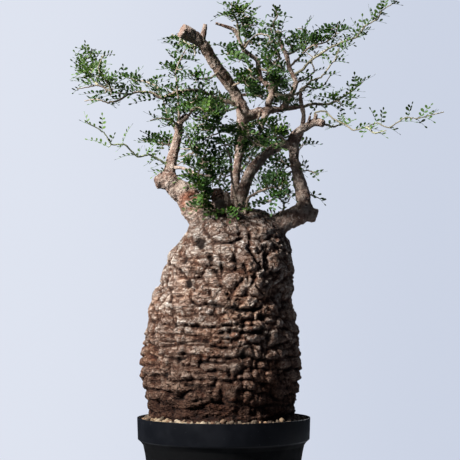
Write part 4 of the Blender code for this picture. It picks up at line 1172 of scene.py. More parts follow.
# Stems, written as the limbs are, but each without radii, because it tapers evenly
STEMS = {
    "left_shoot": (("left_upright", 1), None, -55, (
        (-68, 420), (-80, 426), (-92, 424), (-106, 437), (-120, 437), (-128, 450), (-138, 456),
        (-149, 463))),
    "left_level": (("left_upright", 3), None, 20, ((-58, 436), (-66, 438), (-76, 440), (-88, 441))),
    "left_rising": (("left_upright", 5), None, -34, (
        (-48, 476), (-49, 488), (-50, 501), (-52, 515), (-47, 529), (-41, 541))),
    "left_front": (("left_upright", 5), None, -36, ((-58, 464), (-68, 465), (-79, 463))),
    "left_back": (("left_upright", 4), None, 60, ((-57, 462), (-62, 474), (-66, 489))),
    "upper_left": (("centre", 8), None, -30, (
        (-8, 487), (-20, 493), (-30, 496), (-49, 494), (-67, 487), (-77, 493), (-92, 494), (-103, 491),
        (-120, 494), (-135, 501), (-145, 499), (-157, 497))),
    "upper_left_inner": (("upper_left", 9), None, -42, (
        (-124, 503), (-131, 511), (-135, 521), (-129, 534))),
    "upper_left_outer": (("upper_left", 10), None, 5, ((-143, 511), (-140, 525), (-147, 544))),
    "upper_left_low": (("upper_left", 8), None, 8, ((-112, 485), (-124, 482), (-136, 486), (-149, 484))),
    "upper_left_back": (("upper_left", 5), None, 62, ((-72, 500), (-84, 505), (-97, 507), (-110, 513))),
    "left_dense": (("left_upright", 7), None, -44, ((-33, 474), (-25, 478), (-29, 487))),
    "pink_spray": (("pink_twig", 2), None, -35, ((34, 497), (39, 503), (36, 511))),
    "centre_front": (("cut_limb", 1), None, -78, ((15, 503), (23, 507), (30, 515))),
    "crown_low": (("cut_limb", 2), None, -66, ((-14, 509), (-25, 508), (-37, 515))),
    "crown_left_back": (("cut_limb", 5), None, 55, ((-34, 544), (-45, 550), (-56, 557))),
    "middle_front": (("centre", 8), None, -70, ((6, 474), (-6, 476), (-17, 469))),
    "middle_back": (("centre", 7), None, 100, ((12, 478), (3, 483), (-9, 479), (-20, 486))),
    "top_left": (("inner_stem", 9), None, -25, ((14, 571), (10, 581), (8, 592))),
    "top_inner": (("inner_stem", 7), None, -62, ((20, 531), (12, 534), (4, 536))),
    "top_back": (("inner_stem", 8), None, 40, ((24, 557), (19, 570), (23, 587))),
    "top_right": (("inner_stem", 8), None, -45, ((27, 549), (36, 557), (47, 556))),
    "inner_right": (("inner_stem", 5), None, -40, ((46, 517), (52, 525), (60, 530))),
    "inner_front": (("inner_stem", 2), None, -80, ((55, 503), (47, 513), (52, 523), (46, 532))),
    "inner_back": (("inner_stem", 2), None, 100, ((58, 501), (55, 512), (61, 523))),
    "right_middle": (("inner_stem", 2), None, -28, (
        (63, 490), (75, 491), (84, 495), (92, 505), (104, 510), (113, 521), (120, 530), (124, 542))),
    "right_top": (("outer_stem", 7), None, 12, ((53, 568), (58, 578), (53, 590))),
    "right_upper": (("outer_stem", 6), None, 84, ((78, 539), (86, 547), (89, 562))),
    "right_high": (("outer_stem", 5), None, -6, (
        (78, 528), (88, 539), (97, 545), (109, 548), (119, 555), (123, 568))),
    "right_far": (("outer_stem", 4), None, -48, (
        (84, 518), (94, 529), (103, 535), (112, 541), (132, 550), (142, 553), (152, 566), (166, 574),
        (170, 583), (186, 593))),
    "right_back": (("outer_stem", 3), None, 125, ((87, 508), (97, 516), (94, 528), (102, 539))),
    "right_inner_back": (("outer_stem", 7), None, 110, ((52, 549), (45, 542), (37, 547))),
    "arm_end": (("arm", 6), None, 34, (
        (96, 481), (110, 480), (120, 484), (128, 489), (141, 498), (149, 505))),
    "arm_front": (("arm", 2), None, -48, ((36, 462), (28, 457), (24, 446))),
    "fork_back": (("right_fork", 6), None, 100, ((88, 500), (98, 497), (108, 502), (114, 512))),
    "far_right": (("right_stub", 4), None, -62, (
        (97, 471), (108, 473), (116, 465), (130, 458), (139, 452), (152, 456), (164, 460), (176, 455),
        (194, 466), (207, 465), (222, 469), (235, 472))),
    "far_right_low": (("right_stub", 5), None, 10, ((117, 456), (126, 459), (135, 461))),
    "far_right_side": (("far_right", 6), None, -66, ((161, 449), (173, 452))),
    "low_front": ((13, 362), -30, -52, (
        (14, 374), (11, 386), (8, 402), (8, 420), (2, 434), (-3, 443), (-8, 456))),
    "low_right": ((22, 362), -30, -45, ((26, 379), (36, 386), (52, 391), (61, 388), (71, 380))),
    "low_left": ((-14, 362), -24, -54, ((-17, 378), (-23, 392), (-27, 405), (-22, 418), (-29, 430))),
    "low_back": ((8, 352), 20, 92, ((2, 380), (-6, 395), (-2, 410), (-11, 424))),
    "right_low_front": (("right", 2), None, -38, ((64, 373), (57, 380), (49, 376))),
    "right_side": (("right_upright", 3), None, -22, ((88, 409), (98, 406))),
    "right_side_back": (("right_upright", 1), None, 22, ((92, 383), (101, 379))),
    "dark_branch": (("bridge", 1), None, -26, ((61, 444), (50, 445), (39, 441), (29, 433), (14, 423))),
    "back_right": (("right_upright", 3), None, 85, ((71, 413), (62, 419), (57, 430))),
    "back_centre": (("centre", 3), None, 105, ((20, 412), (28, 420), (22, 432), (29, 444))),
}
STEM_ROOT_RADIUS = 0.0013
STEM_TIP_RADIUS = 0.0005
STEM_SIDES = 8
STEM_STEP = 0.0022
STEM_EASE = 0.45
STEM_KINK = 0.00022
LEAF_TURN = math.radians(137.5)
LEAF_STALK = 0.14
LEAF_FORWARD = 0.50
LEAF_RISE = 0.15
LEAF_FLATNESS = (1.0, 0.7, 0.32)
LEAF_TRIES = 9
LEAF_ROOM = 0.0060
LEAF_ROLL = (math.radians(14), math.radians(30))
PAIR_SPACING = 0.0046
LEAFLET_LENGTH = 0.0057
LEAFLET_WIDTH = 0.56
LEAFLET_OUTLINE = ((0.14, 0.40), (0.50, 0.96), (0.84, 0.80))
LEAFLET_FOLD = 0.16
LEAFLET_THICKNESS = 0.00022
LEAFLET_AHEAD = 0.52
LEAFLET_RAISE = (0.12, 0.50)
RIB_RINGS = 6
RIB_RADII = np.linspace(0.00028, 0.00014, RIB_RINGS).tolist()
RIB_SIDES = 4
TWIG_RADII = np.linspace(0.0007, 0.0004, 4).tolist()
TWIG_BOW = 0.12
ROOT_REACH = 0.004
FIRST_LEAF = 0.008
SPRAY_DEPTH = 0.016
SPRAY_TRIES = 8
SPRAY_ROOM = 0.004
SPRAY_BARE = 0.002
SPRAY_LEAFY = 0.012
SPRAY_LEAF = 0.0205
SPRAY_SHARE = 0.58
WOOD_REACH = 0.02
WOOD_CLEARANCE = 0.0004
TWIG_FINISH, LEAF_FINISH = 0, 1

# Spacing of the leaves along a stem, their length, and how young and green it is. A stem with neither
# spacing nor length has only the leaves and sprays that are placed below.
DRESS = {
    "left_shoot": (0, 0, 0.8), "far_right": (0, 0, 0.32), "far_right_low": (0.01, 0.015, 0.4),
    "far_right_side": (0.012, 0.015, 0.5), "upper_left": (0.012, 0.017, 0.1),
    "upper_left_inner": (0.012, 0.0165, 0.3), "upper_left_outer": (0.005, 0.0165, 0.4),
    "upper_left_low": (0.011, 0.016, 0.15), "upper_left_back": (0.0075, 0.018, 0.15),
    "left_level": (0.0075, 0.016, 0.1), "left_back": (0.0085, 0.015, 0.1),
    "left_rising": (0.011, 0.013, 0.1), "left_front": (0.014, 0.018, 0.1), "right_middle": (0, 0, 0.25),
    "right_far": (0.022, 0.015, 0.3), "right_side": (0.013, 0.012, 0.2),
    "right_side_back": (0.013, 0.012, 0.2), "arm_end": (0.011, 0.015, 0.25),
    "dark_branch": (0.007, 0.016, 0.05), "low_right": (0.01, 0.016, 0.05),
    "low_front": (0.013, 0.016, 0.05), "fork_back": (0.024, 0.015, 0.15), "right_back": (0.024, 0.016, 0.1),
    "top_left": (0.0065, 0.015, 0.25), "top_back": (0.0095, 0.015, 0.15), "right_top": (0.012, 0.013, 0.15),
    "right_inner_back": (0.009, 0.015, 0.1), "crown_left_back": (0.011, 0.014, 0.2),
    "right_upper": (0.0075, 0.016, 0.1),
}
PLAIN_DRESS = (0.0085, 0.0190, 0.08)

# Leaves that show on their own, by stem, as (across, height) of the root and of the tip, in millimetres
PLACED_LEAVES = {
    "left_shoot": (
        (-96, 422, -114, 421), (-108, 436, -99, 457), (-123, 434, -145, 442), (-122, 438, -117, 447),
        (-131, 450, -130, 468), (-138, 453, -152, 462), (-81, 425, -84, 433), (-106, 437, -113, 431),
        (-145, 461, -149, 470), (-92, 425, -88, 433), (-62, 417, -75, 412), (-70, 421, -83, 415),
        (-60, 415, -67, 426), (-74, 423, -79, 432), (-64, 407, -78, 408), (-62, 410, -76, 402)),
    "upper_left": (
        (-127, 492, -152, 491), (-115, 491, -97, 486), (-72, 485, -98, 481), (-70, 485, -52, 480),
        (-66, 488, -50, 487), (-95, 494, -118, 499), (-85, 494, -106, 496), (-76, 492, -88, 489),
        (-58, 494, -73, 496), (-48, 497, -36, 501), (-34, 498, -18, 500), (-143, 503, -161, 506),
        (-54, 497, -70, 500), (-110, 494, -104, 503), (-121, 489, -115, 484), (-60, 491, -68, 485),
        (-36, 496, -46, 501), (-26, 496, -20, 504), (-12, 491, -9, 501)),
    "upper_left_inner": (
        (-131, 512, -128, 535), (-128, 508, -118, 508), (-124, 503, -112, 504), (-133, 516, -141, 527),
        (-130, 508, -125, 517)),
    "upper_left_outer": (
        (-147, 526, -149, 547), (-143, 525, -142, 538), (-141, 524, -135, 528), (-148, 519, -161, 537),
        (-146, 515, -165, 521), (-147, 512, -166, 527), (-142, 512, -160, 513), (-142, 517, -157, 534)),
    "upper_left_low": ((-124, 482, -118, 478), (-140, 486, -133, 490)),
    "upper_left_back": (
        (-83, 501, -55, 512), (-92, 505, -108, 513), (-93, 506, -88, 512), (-97, 507, -113, 511),
        (-74, 502, -62, 506), (-104, 508, -113, 504)),
    "left_front": ((-57, 463, -79, 462), (-58, 466, -63, 475)),
    "left_level": (
        (-58, 436, -58, 449), (-62, 438, -67, 449), (-68, 439, -68, 429), (-76, 440, -84, 445),
        (-60, 437, -59, 427), (-70, 440, -78, 433), (-80, 441, -93, 441)),
    "left_rising": (
        (-50, 510, -58, 523), (-50, 516, -42, 525), (-50, 519, -66, 523), (-51, 512, -40, 519),
        (-50, 504, -42, 507), (-48, 528, -57, 537), (-46, 533, -60, 547), (-47, 476, -62, 473),
        (-46, 480, -55, 486)),
    "crown_low": (
        (-30, 509, -39, 514), (-30, 509, -27, 518), (-31, 508, -20, 513), (-26, 508, -30, 500),
        (-24, 508, -12, 510)),
    "crown_left_back": ((-48, 552, -62, 549), (-42, 548, -50, 538), (-36, 545, -38, 534)),
    "inner_front": ((50, 518, 38, 521), (50, 519, 62, 521), (53, 512, 64, 517)),
    "right_middle": (
        (108, 509, 122, 512), (118, 525, 131, 526), (121, 531, 113, 541), (114, 524, 107, 536),
        (93, 506, 86, 513), (92, 501, 103, 502), (124, 534, 138, 546), (124, 541, 139, 553),
        (121, 528, 131, 533), (97, 507, 96, 498), (84, 495, 95, 490), (75, 491, 69, 497)),
    "right_far": (
        (104, 536, 106, 528), (150, 563, 149, 576), (146, 560, 132, 559), (150, 560, 150, 554),
        (160, 571, 156, 587), (171, 578, 175, 577), (170, 582, 169, 594), (173, 585, 174, 594),
        (141, 553, 152, 558), (130, 549, 139, 545), (163, 573, 160, 579), (121, 545, 128, 539),
        (152, 566, 158, 573), (182, 591, 190, 589)),
    "right_high": (
        (100, 546, 96, 563), (112, 550, 116, 566), (119, 556, 128, 570), (121, 560, 137, 563),
        (105, 547, 107, 562), (108, 548, 120, 545), (95, 544, 88, 552), (117, 554, 130, 553)),
    "arm_end": (
        (120, 484, 100, 489), (110, 481, 98, 486), (118, 483, 120, 492), (141, 498, 140, 512),
        (145, 501, 151, 508), (149, 505, 160, 511), (134, 494, 133, 503), (119, 482, 143, 476),
        (112, 480, 130, 466), (104, 480, 109, 474), (128, 488, 140, 487), (136, 495, 148, 494),
        (100, 480, 94, 472)),
    "fork_back": ((96, 498, 92, 486), (100, 499, 109, 494), (90, 499, 86, 508)),
    "far_right": (
        (140, 452, 158, 459), (146, 454, 166, 452), (164, 460, 157, 474), (169, 459, 170, 474),
        (186, 461, 204, 461), (197, 466, 201, 480), (209, 466, 221, 479), (204, 465, 214, 457),
        (222, 469, 227, 473), (130, 458, 139, 463), (112, 469, 104, 463), (176, 456, 186, 449),
        (152, 456, 148, 447), (214, 466, 223, 462)),
    "right_side": ((88, 409, 84, 422), (92, 407, 99, 400)),
    "low_right": (
        (58, 388, 51, 364), (50, 390, 38, 399), (54, 390, 56, 403), (62, 388, 70, 397), (44, 388, 46, 398),
        (66, 384, 76, 377), (36, 386, 33, 396), (60, 388, 47, 382)),
    "low_left": ((-27, 403, -51, 397), (-24, 395, -40, 391), (-27, 406, -47, 404), (-24, 413, -46, 418)),
    "top_left": ((10, 582, -5, 591), (9, 588, 20, 592), (12, 576, -3, 580), (13, 572, 3, 576)),
    "top_right": ((45, 556, 58, 547), (40, 556, 45, 574), (34, 555, 27, 563)),
    "right_top": (
        (56, 573, 49, 577), (57, 576, 60, 586), (58, 578, 70, 576), (54, 567, 66, 570), (55, 570, 48, 564)),
}

# Sprays are short side twigs that fill the crown, by stem, as (across, height) of the tip and how leafy
SPRAYS = {
    "upper_left": (
        (-118, 500, 5), (-126, 505, 6), (-20, 488, 6), (-36, 487, 6), (-12, 483, 5), (-44, 488, 5),
        (-62, 499, 4), (-4, 494, 4)),
    "upper_left_inner": ((-137, 508, 6), (-131, 505, 6)),
    "upper_left_outer": ((-152, 516, 7), (-146, 519, 6), (-156, 523, 6), (-150, 511, 6), (-154, 529, 4)),
    "upper_left_back": ((-98, 510, 4), (-84, 499, 4)),
    "left_level": ((-64, 444, 4), (-57, 446, 4), (-72, 442, 3), (-66, 432, 3)),
    "left_back": ((-52, 474, 4), (-57, 470, 3), (-44, 452, 4), (-46, 444, 4)),
    "left_dense": (
        (-38, 478, 8), (-30, 474, 8), (-24, 482, 8), (-34, 486, 7), (-20, 476, 8), (-40, 484, 7),
        (-28, 490, 6), (-16, 481, 6), (-42, 473, 6), (-30, 466, 5)),
    "left_rising": (
        (-54, 519, 5), (-45, 518, 5), (-50, 526, 3), (-40, 536, 3), (-44, 530, 4), (-58, 498, 4)),
    "crown_left_back": ((-50, 545, 3), (-53, 533, 3), (-38, 539, 5), (-33, 532, 4)),
    "crown_low": ((-34, 511, 4), (-30, 504, 4)),
    "centre_front": (
        (20, 512, 6), (28, 518, 4), (34, 507, 6), (24, 500, 7), (16, 508, 3), (30, 498, 7), (40, 504, 3)),
    "pink_spray": (
        (30, 502, 8), (40, 497, 8), (26, 496, 8), (36, 490, 7), (22, 504, 7), (44, 490, 7), (44, 506, 6)),
    "middle_front": (
        (-8, 470, 8), (0, 471, 7), (-16, 480, 7), (-10, 485, 6), (-22, 473, 7), (-27, 464, 4),
        (-17, 463, 3), (0, 482, 6), (3, 490, 5), (-36, 474, 5), (12, 484, 5)),
    "middle_back": (
        (-22, 486, 7), (-14, 476, 6), (-30, 480, 7), (-36, 476, 6), (-5, 487, 6), (8, 488, 6),
        (-26, 472, 6)),
    "top_left": (
        (4, 577, 5), (16, 580, 5), (22, 574, 4), (8, 571, 4), (26, 581, 5), (30, 571, 3), (19, 587, 4)),
    "top_back": ((27, 568, 5), (33, 574, 4), (22, 562, 5), (35, 566, 3), (20, 574, 3)),
    "top_inner": ((4, 534, 4), (10, 538, 5), (16, 526, 5), (20, 536, 3), (24, 528, 6), (26, 522, 6)),
    "top_right": ((30, 546, 5), (38, 550, 5), (45, 545, 4), (17, 546, 3), (19, 536, 2)),
    "inner_right": ((52, 535, 5), (56, 542, 5), (46, 541, 4), (41, 536, 3), (58, 535, 4), (50, 545, 4)),
    "inner_front": ((56, 508, 8), (64, 509, 7), (61, 500, 7), (66, 515, 2), (49, 503, 7), (50, 512, 4)),
    "inner_back": (
        (58, 499, 7), (66, 500, 5), (54, 491, 8), (62, 490, 8), (60, 484, 8), (68, 483, 6), (54, 482, 7),
        (48, 490, 6)),
    "right_middle": ((58, 486, 7), (66, 480, 7), (72, 484, 6), (61, 476, 5), (70, 474, 4), (78, 482, 5)),
    "right_inner_back": ((52, 560, 3), (50, 566, 2), (58, 565, 3)),
    "right_top": ((66, 561, 3),),
    "right_upper": (
        (68, 553, 5), (76, 554, 6), (72, 546, 5), (82, 552, 6), (84, 545, 5), (78, 562, 2), (90, 548, 5)),
    "right_high": (
        (92, 552, 5), (98, 556, 6), (104, 552, 6), (110, 558, 5), (90, 541, 4), (98, 541, 2), (116, 562, 4),
        (124, 558, 4)),
    "right_back": ((84, 540, 5),),
    "right_far": ((124, 552, 4), (148, 558, 3), (160, 576, 2)),
    "arm_end": ((124, 477, 4), (133, 486, 4), (116, 488, 4)),
    "arm_front": (
        (47, 440, 6), (56, 444, 7), (64, 440, 6), (52, 434, 5), (40, 434, 5), (30, 457, 8), (22, 458, 8),
        (15, 456, 7), (12, 461, 5), (37, 459, 7), (42, 454, 6), (26, 449, 5), (35, 449, 4), (46, 462, 5)),
    "dark_branch": (
        (30, 441, 6), (44, 447, 7), (54, 451, 8), (62, 452, 8), (68, 448, 7), (57, 457, 5), (36, 436, 5),
        (23, 431, 5), (17, 440, 6), (25, 444, 6), (48, 440, 5), (66, 443, 6)),
    "back_right": (
        (58, 415, 7), (66, 416, 6), (51, 420, 6), (60, 424, 6), (46, 429, 7), (54, 434, 6), (40, 424, 6),
        (88, 444, 5), (90, 440, 4), (48, 410, 6), (44, 400, 7), (52, 396, 6), (38, 394, 6), (60, 402, 6),
        (42, 388, 5), (56, 389, 6), (66, 396, 6)),
    "back_centre": (
        (20, 421, 7), (32, 424, 7), (14, 431, 7), (38, 433, 7), (24, 438, 7), (9, 442, 5), (34, 446, 7),
        (42, 440, 6), (3, 425, 6), (30, 412, 6), (24, 430, 7), (16, 414, 6), (10, 436, 6), (20, 446, 6),
        (26, 403, 6), (34, 406, 6)),
    "low_back": (
        (-12, 391, 7), (-2, 398, 7), (4, 406, 7), (-14, 404, 8), (-8, 415, 8), (2, 417, 6), (-19, 419, 7),
        (9, 393, 6), (-21, 397, 7), (22, 398, 5), (8, 384, 6), (14, 406, 6), (-4, 384, 5)),
    "low_left": (
        (-18, 374, 8), (-24, 380, 8), (-14, 380, 7), (-12, 370, 8), (-6, 367, 7), (-28, 386, 8),
        (-20, 388, 8), (-32, 392, 7), (-36, 380, 7), (-30, 374, 7), (-26, 368, 6), (-38, 388, 6),
        (-43, 415, 5), (-37, 412, 4), (-46, 405, 4), (-48, 424, 4), (-46, 432, 4), (-50, 416, 4),
        (-30, 388, 7), (-22, 385, 7), (-13, 385, 6), (-34, 396, 6), (-18, 397, 7), (-9, 400, 7),
        (-13, 409, 8), (-21, 413, 8), (-29, 417, 7), (-6, 413, 6), (-17, 423, 7), (-31, 425, 5),
        (-33, 437, 5), (-24, 437, 4), (-28, 446, 5), (-38, 442, 6), (-40, 449, 6)),
    "low_front": (
        (-20, 457, 8), (-30, 455, 7), (-11, 459, 8), (0, 456, 8), (6, 453, 7), (-27, 452, 6), (-37, 457, 5),
        (-14, 453, 5), (-4, 452, 5), (-8, 425, 6), (-3, 405, 6), (-12, 447, 5), (-6, 439, 5), (-20, 432, 4),
        (-11, 431, 6), (-22, 444, 4), (14, 444, 4), (16, 366, 7), (22, 366, 6), (8, 368, 8), (12, 374, 7),
        (2, 364, 7), (18, 373, 6), (10, 380, 5)),
    "low_right": (
        (45, 396, 5), (54, 400, 5), (37, 394, 4), (62, 396, 5), (69, 390, 4), (59, 408, 4), (64, 405, 4)),
    "right_low_front": ((50, 371, 4), (58, 384, 6), (65, 386, 6), (70, 380, 4), (44, 378, 4)),
}

# Wood that stays bare of leaves in front, by the numbers of its first and last points
BARE_WOOD = {
    "left": (3, 6), "left_upright": (0, 7), "left_bare_twig": (0, 5), "centre": (6, 9), "cut_limb": (1, 7),
    "arm": (0, 6), "inner_stem": (0, 10), "inner_stem_foot": (0, 3), "outer_stem": (1, 7),
    "right_upright": (0, 5), "bridge": (3, 7), "right_stub": (0, 5), "right_fork": (0, 6),
    "upper_left": (0, 8), "dark_branch": (0, 4), "right_middle": (0, 6), "right_far": (0, 8),
    "arm_end": (0, 4), "low_right": (0, 4), "right_high": (0, 5), "far_right": (0, 6), "left_shoot": (0, 5),
    "low_front": (0, 3), "left_rising": (0, 3), "red_stub": (1, 2), "pale_stub": (1, 2),
}
BARE_MARGIN, BARE_TWIG_MARGIN = 0.0012, 0.0014

# Wood that the lamp lights past the leaves, by the numbers of its first and last points
SUNLIT_WOOD = {
    "bridge": (3, 7), "centre": (5, 9), "cut_limb": (1, 6), "inner_stem": (1, 2), "outer_stem": (1, 4),
    "left_upright": (2, 5), "red_stub": (2, 2), "arm": (1, 3), "upper_left": (3, 6),
}
SUNLIT_WIDTH = 0.0055
SUNLIT_START = 0.006
LIGHT_FROM = Vector((-1.44, -1.02, 1.45))

# Radius at the root of the stems that start thick, or thin
ROOT_RADII = {
    "upper_left": 0.0021, "dark_branch": 0.0017, "low_front": 0.0017, "low_right": 0.0017,
    "arm_end": 0.0018, "right_middle": 0.0016, "right_far": 0.0016, "far_right": 0.001,
}
room_low, room_high = (Vector(corner) for corner in solid_box)


def within(points, margin):
    """Whether all the points lie inside the box of the plant's solids by a margin."""
    for point in points:
        if not all(low + margin < x < high - margin for low, x, high in zip(room_low, point, room_high)):
            return False
    return True


def length_of(points):
    """The length of a route."""
    return sum((b - a).length for a, b in zip(points, points[1:]))


def along_route(points, run):
    """The place at a length along a route, and its heading."""
    for a, b in zip(points, points[1:]):
        length = (b - a).length
        if run <= length:
            return a.lerp(b, run / length), (b - a).normalized()
        run -= length
    return points[-1], (points[-1] - points[-2]).normalized()


def clear_of_wood(points):
    """Whether the points lie outside the trunk and the limbs."""
    for point in points:
        spot, normal, _, _ = wood_tree.find_nearest(point, WOOD_REACH)
        if spot is not None and (point - spot).dot(normal) < WOOD_CLEARANCE:
            return False
    return True


def shown_at(point):
    """Where a point shows on the plane of the pot's axis, in metres."""
    near = -EYE.y / (point.y - EYE.y)
    return EYE.x + (point.x - EYE.x) * near, EYE.z + (point.z - EYE.z) * near


def leaves_wood_open(points):
    """Whether the points keep off the front of the bare limbs and out of the light on the palest ones."""
    for point in points:
        for start, heading in sunlit:
            ahead = (point - start).dot(heading)
            if ahead > SUNLIT_START and (point - start - ahead * heading).length < SUNLIT_WIDTH:
                return False
        x, z = shown_at(point)
        for (x0, z0), (x1, z1), half, depth in open_lines:
            dx, dz = x1 - x0, z1 - z0
            share = min(1.0, max(0.0, ((x - x0) * dx + (z - z0) * dz) / (dx * dx + dz * dz)))
            if math.hypot(x - x0 - share * dx, z - z0 - share * dz) < half and point.y < depth:
                return False
    return True


def leaflet(base, ahead, up, length):
    """Points and faces of one leaflet: a thin blade, widest past its middle and folded along its rib."""
    side = ahead.cross(up).normalized()
    lift = side.cross(ahead)
    half = LEAFLET_WIDTH * length / 2
    points = [base]
    for run, breadth in LEAFLET_OUTLINE:
        middle = base + ahead * run * length
        edge_lift = lift * LEAFLET_FOLD * breadth * half
        points += [
            middle - side * breadth * half + edge_lift, middle + lift * LEAFLET_THICKNESS / 2,
            middle + side * breadth * half + edge_lift, middle - lift * LEAFLET_THICKNESS / 2,
        ]
    points.append(base + ahead * length)
    faces = [(0, 1 + (i + 1) % 4, 1 + i) for i in range(4)]
    for ring in range(len(LEAFLET_OUTLINE) - 1):
        low, high = 1 + 4 * ring, 5 + 4 * ring
        faces += [(low + i, low + (i + 1) % 4, high + (i + 1) % 4, high + i) for i in range(4)]
    last, tip = 1 + 4 * (len(LEAFLET_OUTLINE) - 1), len(points) - 1
    faces += [(last + i, last + (i + 1) % 4, tip) for i in range(4)]
    return points, faces


def leaf_rib(root, tip, droop, swing):
    """Points of a leaf's rib, bowed up and a little to one side."""
    side = (tip - root).cross(UP)
    ribs = []
    for s in (i / (RIB_RINGS - 1) for i in range(RIB_RINGS)):
        bow = 4 * s * (1 - s)
        ribs.append(root.lerp(tip, s) + UP * droop * bow * (tip - root).length + side * swing * bow)
    return ribs


def add_leaf(growth, root, tip, youth, draw):
    """A pinnate leaf, its blade turned up to catch the light."""
    rib = leaf_rib(root, tip, draw.uniform(0.0, 0.10), draw.uniform(-0.08, 0.08))
    length = (tip - root).length
    tone = draw.random()
    growth.add(*tube(rib, RIB_RADII, RIB_SIDES), (tone, min(1.0, youth + 0.3)), LEAF_FINISH)
    heading = (tip - root).normalized()
    side = heading.cross(UP)
    side = side.normalized() if side.length > 0.2 else heading.orthogonal().normalized()
    towards_front = 1 if side.y < 0 else -1
    up = side.cross(heading)
    up.rotate(Matrix.Rotation(towards_front * draw.gauss(*LEAF_ROLL), 3, heading))
    pairs = max(2, round(length * (1 - LEAF_STALK) / PAIR_SPACING))
    for pair in range(pairs + 1):
        share = LEAF_STALK + (1 - LEAF_STALK) * pair / pairs
        whole = share * (len(rib) - 1)
        index = min(len(rib) - 2, int(whole))
        base = rib[index].lerp(rib[index + 1], whole - index)
        ahead = (rib[index + 1] - rib[index]).normalized()
        swell = 0.76 + 0.3 * math.sin(math.pi * min(1.0, share + 0.12))
        size = LEAFLET_LENGTH * swell * draw.uniform(0.86, 1.12)
        size *= 1 - 0.3 * youth
        across = ahead.cross(up).normalized()
        for hand in (0,) if pair == pairs else (-1, 1):
            out = (across * hand + ahead * (LEAFLET_AHEAD if hand else 1)).normalized()
            out = (out + scattered(draw, 0.09) + LEAFLET_RAISE[abs(hand)] * up).normalized()
            growth.add(*leaflet(base, out, up, size), (tone, youth), LEAF_FINISH)


def add_twig(growth, points, radii, youth, draw):
    """The twig itself, kinked a little between its joints."""
    line, sizes = eased(points, radii, STEM_STEP, STEM_EASE)
    kinked = [line[0], *(point + scattered(draw, STEM_KINK) for point in line[1:-1])]
    sizes = [size * draw.uniform(0.92, 1.12) for size in sizes]
    growth.add(*tube([*kinked, line[-1]], sizes, STEM_SIDES), (draw.random(), youth), TWIG_FINISH)
    return line


def add_leaves(growth, line, spacing, leaf_length, youth, draw, start):
    """Leaves along a twig, each turned on from the one before it and held clear of the wood."""
    turn = draw.uniform(0, math.tau)
    run, whole = start, length_of(line)
    while run < whole:
        root, heading = along_route(line, run)
        length = leaf_length * draw.uniform(0.72, 1.15) * (1 - 0.25 * (run / whole) ** 2)
        side = heading.cross(UP)
        side = side.normalized() if side.length > 0.1 else heading.orthogonal().normalized()
        other = side.cross(heading)
        for attempt in range(LEAF_TRIES):
            angle = turn + LEAF_TURN * attempt / 3 + draw.gauss(0, 0.25)
            outward = side * math.cos(angle) + other * math.sin(angle)
            pointing = outward + LEAF_FORWARD * heading + LEAF_RISE * UP
            pointing *= Vector(LEAF_FLATNESS)
            tip = root + length * pointing.normalized()
            blade = [root.lerp(tip, 0.5), tip]
            if within([tip], LEAF_ROOM) and clear_of_wood(blade) and leaves_wood_open(blade):
                add_leaf(growth, root, tip, min(1.0, youth + 0.12 * draw.random()), draw)
                break
        turn += LEAF_TURN
        run += spacing * draw.uniform(0.75, 1.25)


def nearest_on(line, across, height):
    """The place of a twig that shows nearest to a place in the front view."""
    return min(line, key=lambda point: (seen(across, height, point.y / MM) - point).length)


def bowed(root, tip, draw):
    """A side twig from its root to its tip, bowed a little."""
    bow = scattered(draw, TWIG_BOW * (tip - root).length)
    return [root, root.lerp(tip, 0.35) + bow, root.lerp(tip, 0.7) + 0.8 * bow, tip]


def place_leaves(growth, line, youth, places, draw):
    """The leaves that are placed one by one. One that starts off its twig gets a side twig."""
    for x0, z0, x1, z1 in places:
        spot = nearest_on(line, x0, z0)
        depth = spot.y / MM
        root = seen(x0, z0, depth)
        if (root - spot).length > ROOT_REACH:
            add_twig(growth, bowed(spot, root, draw), TWIG_RADII, youth, draw)
        else:
            root = spot
        tip = seen(x1, z1, depth + draw.uniform(-5, 5))
        tip = Vector([
            min(max(x, low + LEAF_ROOM), high - LEAF_ROOM) for low, x, high in zip(room_low, tip, room_high)
        ])
        add_leaf(growth, root, tip, min(1.0, youth + 0.1 * draw.random()), draw)


def place_sprays(growth, line, youth, places, draw):
    """Side twigs with leaves towards their tips, each set at a depth where it passes the wood."""
    for across, height, count in places:
        spot = nearest_on(line, across, height)
        for _ in range(SPRAY_TRIES):
            tip = seen(across, height, (spot.y + draw.uniform(-SPRAY_DEPTH, SPRAY_DEPTH)) / MM)
            side_line = bowed(spot, tip, draw)
            if within(side_line, SPRAY_ROOM) and clear_of_wood(side_line[1:]):
                side_line = add_twig(growth, side_line, TWIG_RADII, youth, draw)
                whole = length_of(side_line)
                start = max(SPRAY_BARE, whole - SPRAY_LEAFY)
                spacing = (whole - start) / (max(1, round(SPRAY_SHARE * count)) - 0.5)
                add_leaves(growth, side_line, spacing, SPRAY_LEAF, youth, draw, start)
                break


wood_tree = BVHTree.FromObject(trunk, bpy.context.evaluated_depsgraph_get())
for name, entry in STEMS.items():
    points, _ = route_of(entry, routes, STEM_ROOT_RADIUS)
    root_radius = ROOT_RADII.get(name, STEM_ROOT_RADIUS)
    routes[name] = (points, np.linspace(root_radius, STEM_TIP_RADIUS, len(points)).tolist())
sunlit = []
for name, (first, last) in SUNLIT_WOOD.items():
    points, _ = routes[name]
    for i in range(first, last + 1):
        for spot in (points[i], points[i - 1].lerp(points[i], 0.5)):
            sunlit.append((spot, (LIGHT_FROM - spot).normalized()))
open_lines = []
for name, (first, last) in BARE_WOOD.items():
    points, radii = routes[name]
    for i in range(first, last):
        half = radii[i] + (BARE_MARGIN if radii[i] > FINE_LIMB else BARE_TWIG_MARGIN)
        depth = max(points[i].y, points[i + 1].y)
        open_lines.append((shown_at(points[i]), shown_at(points[i + 1]), half, depth))

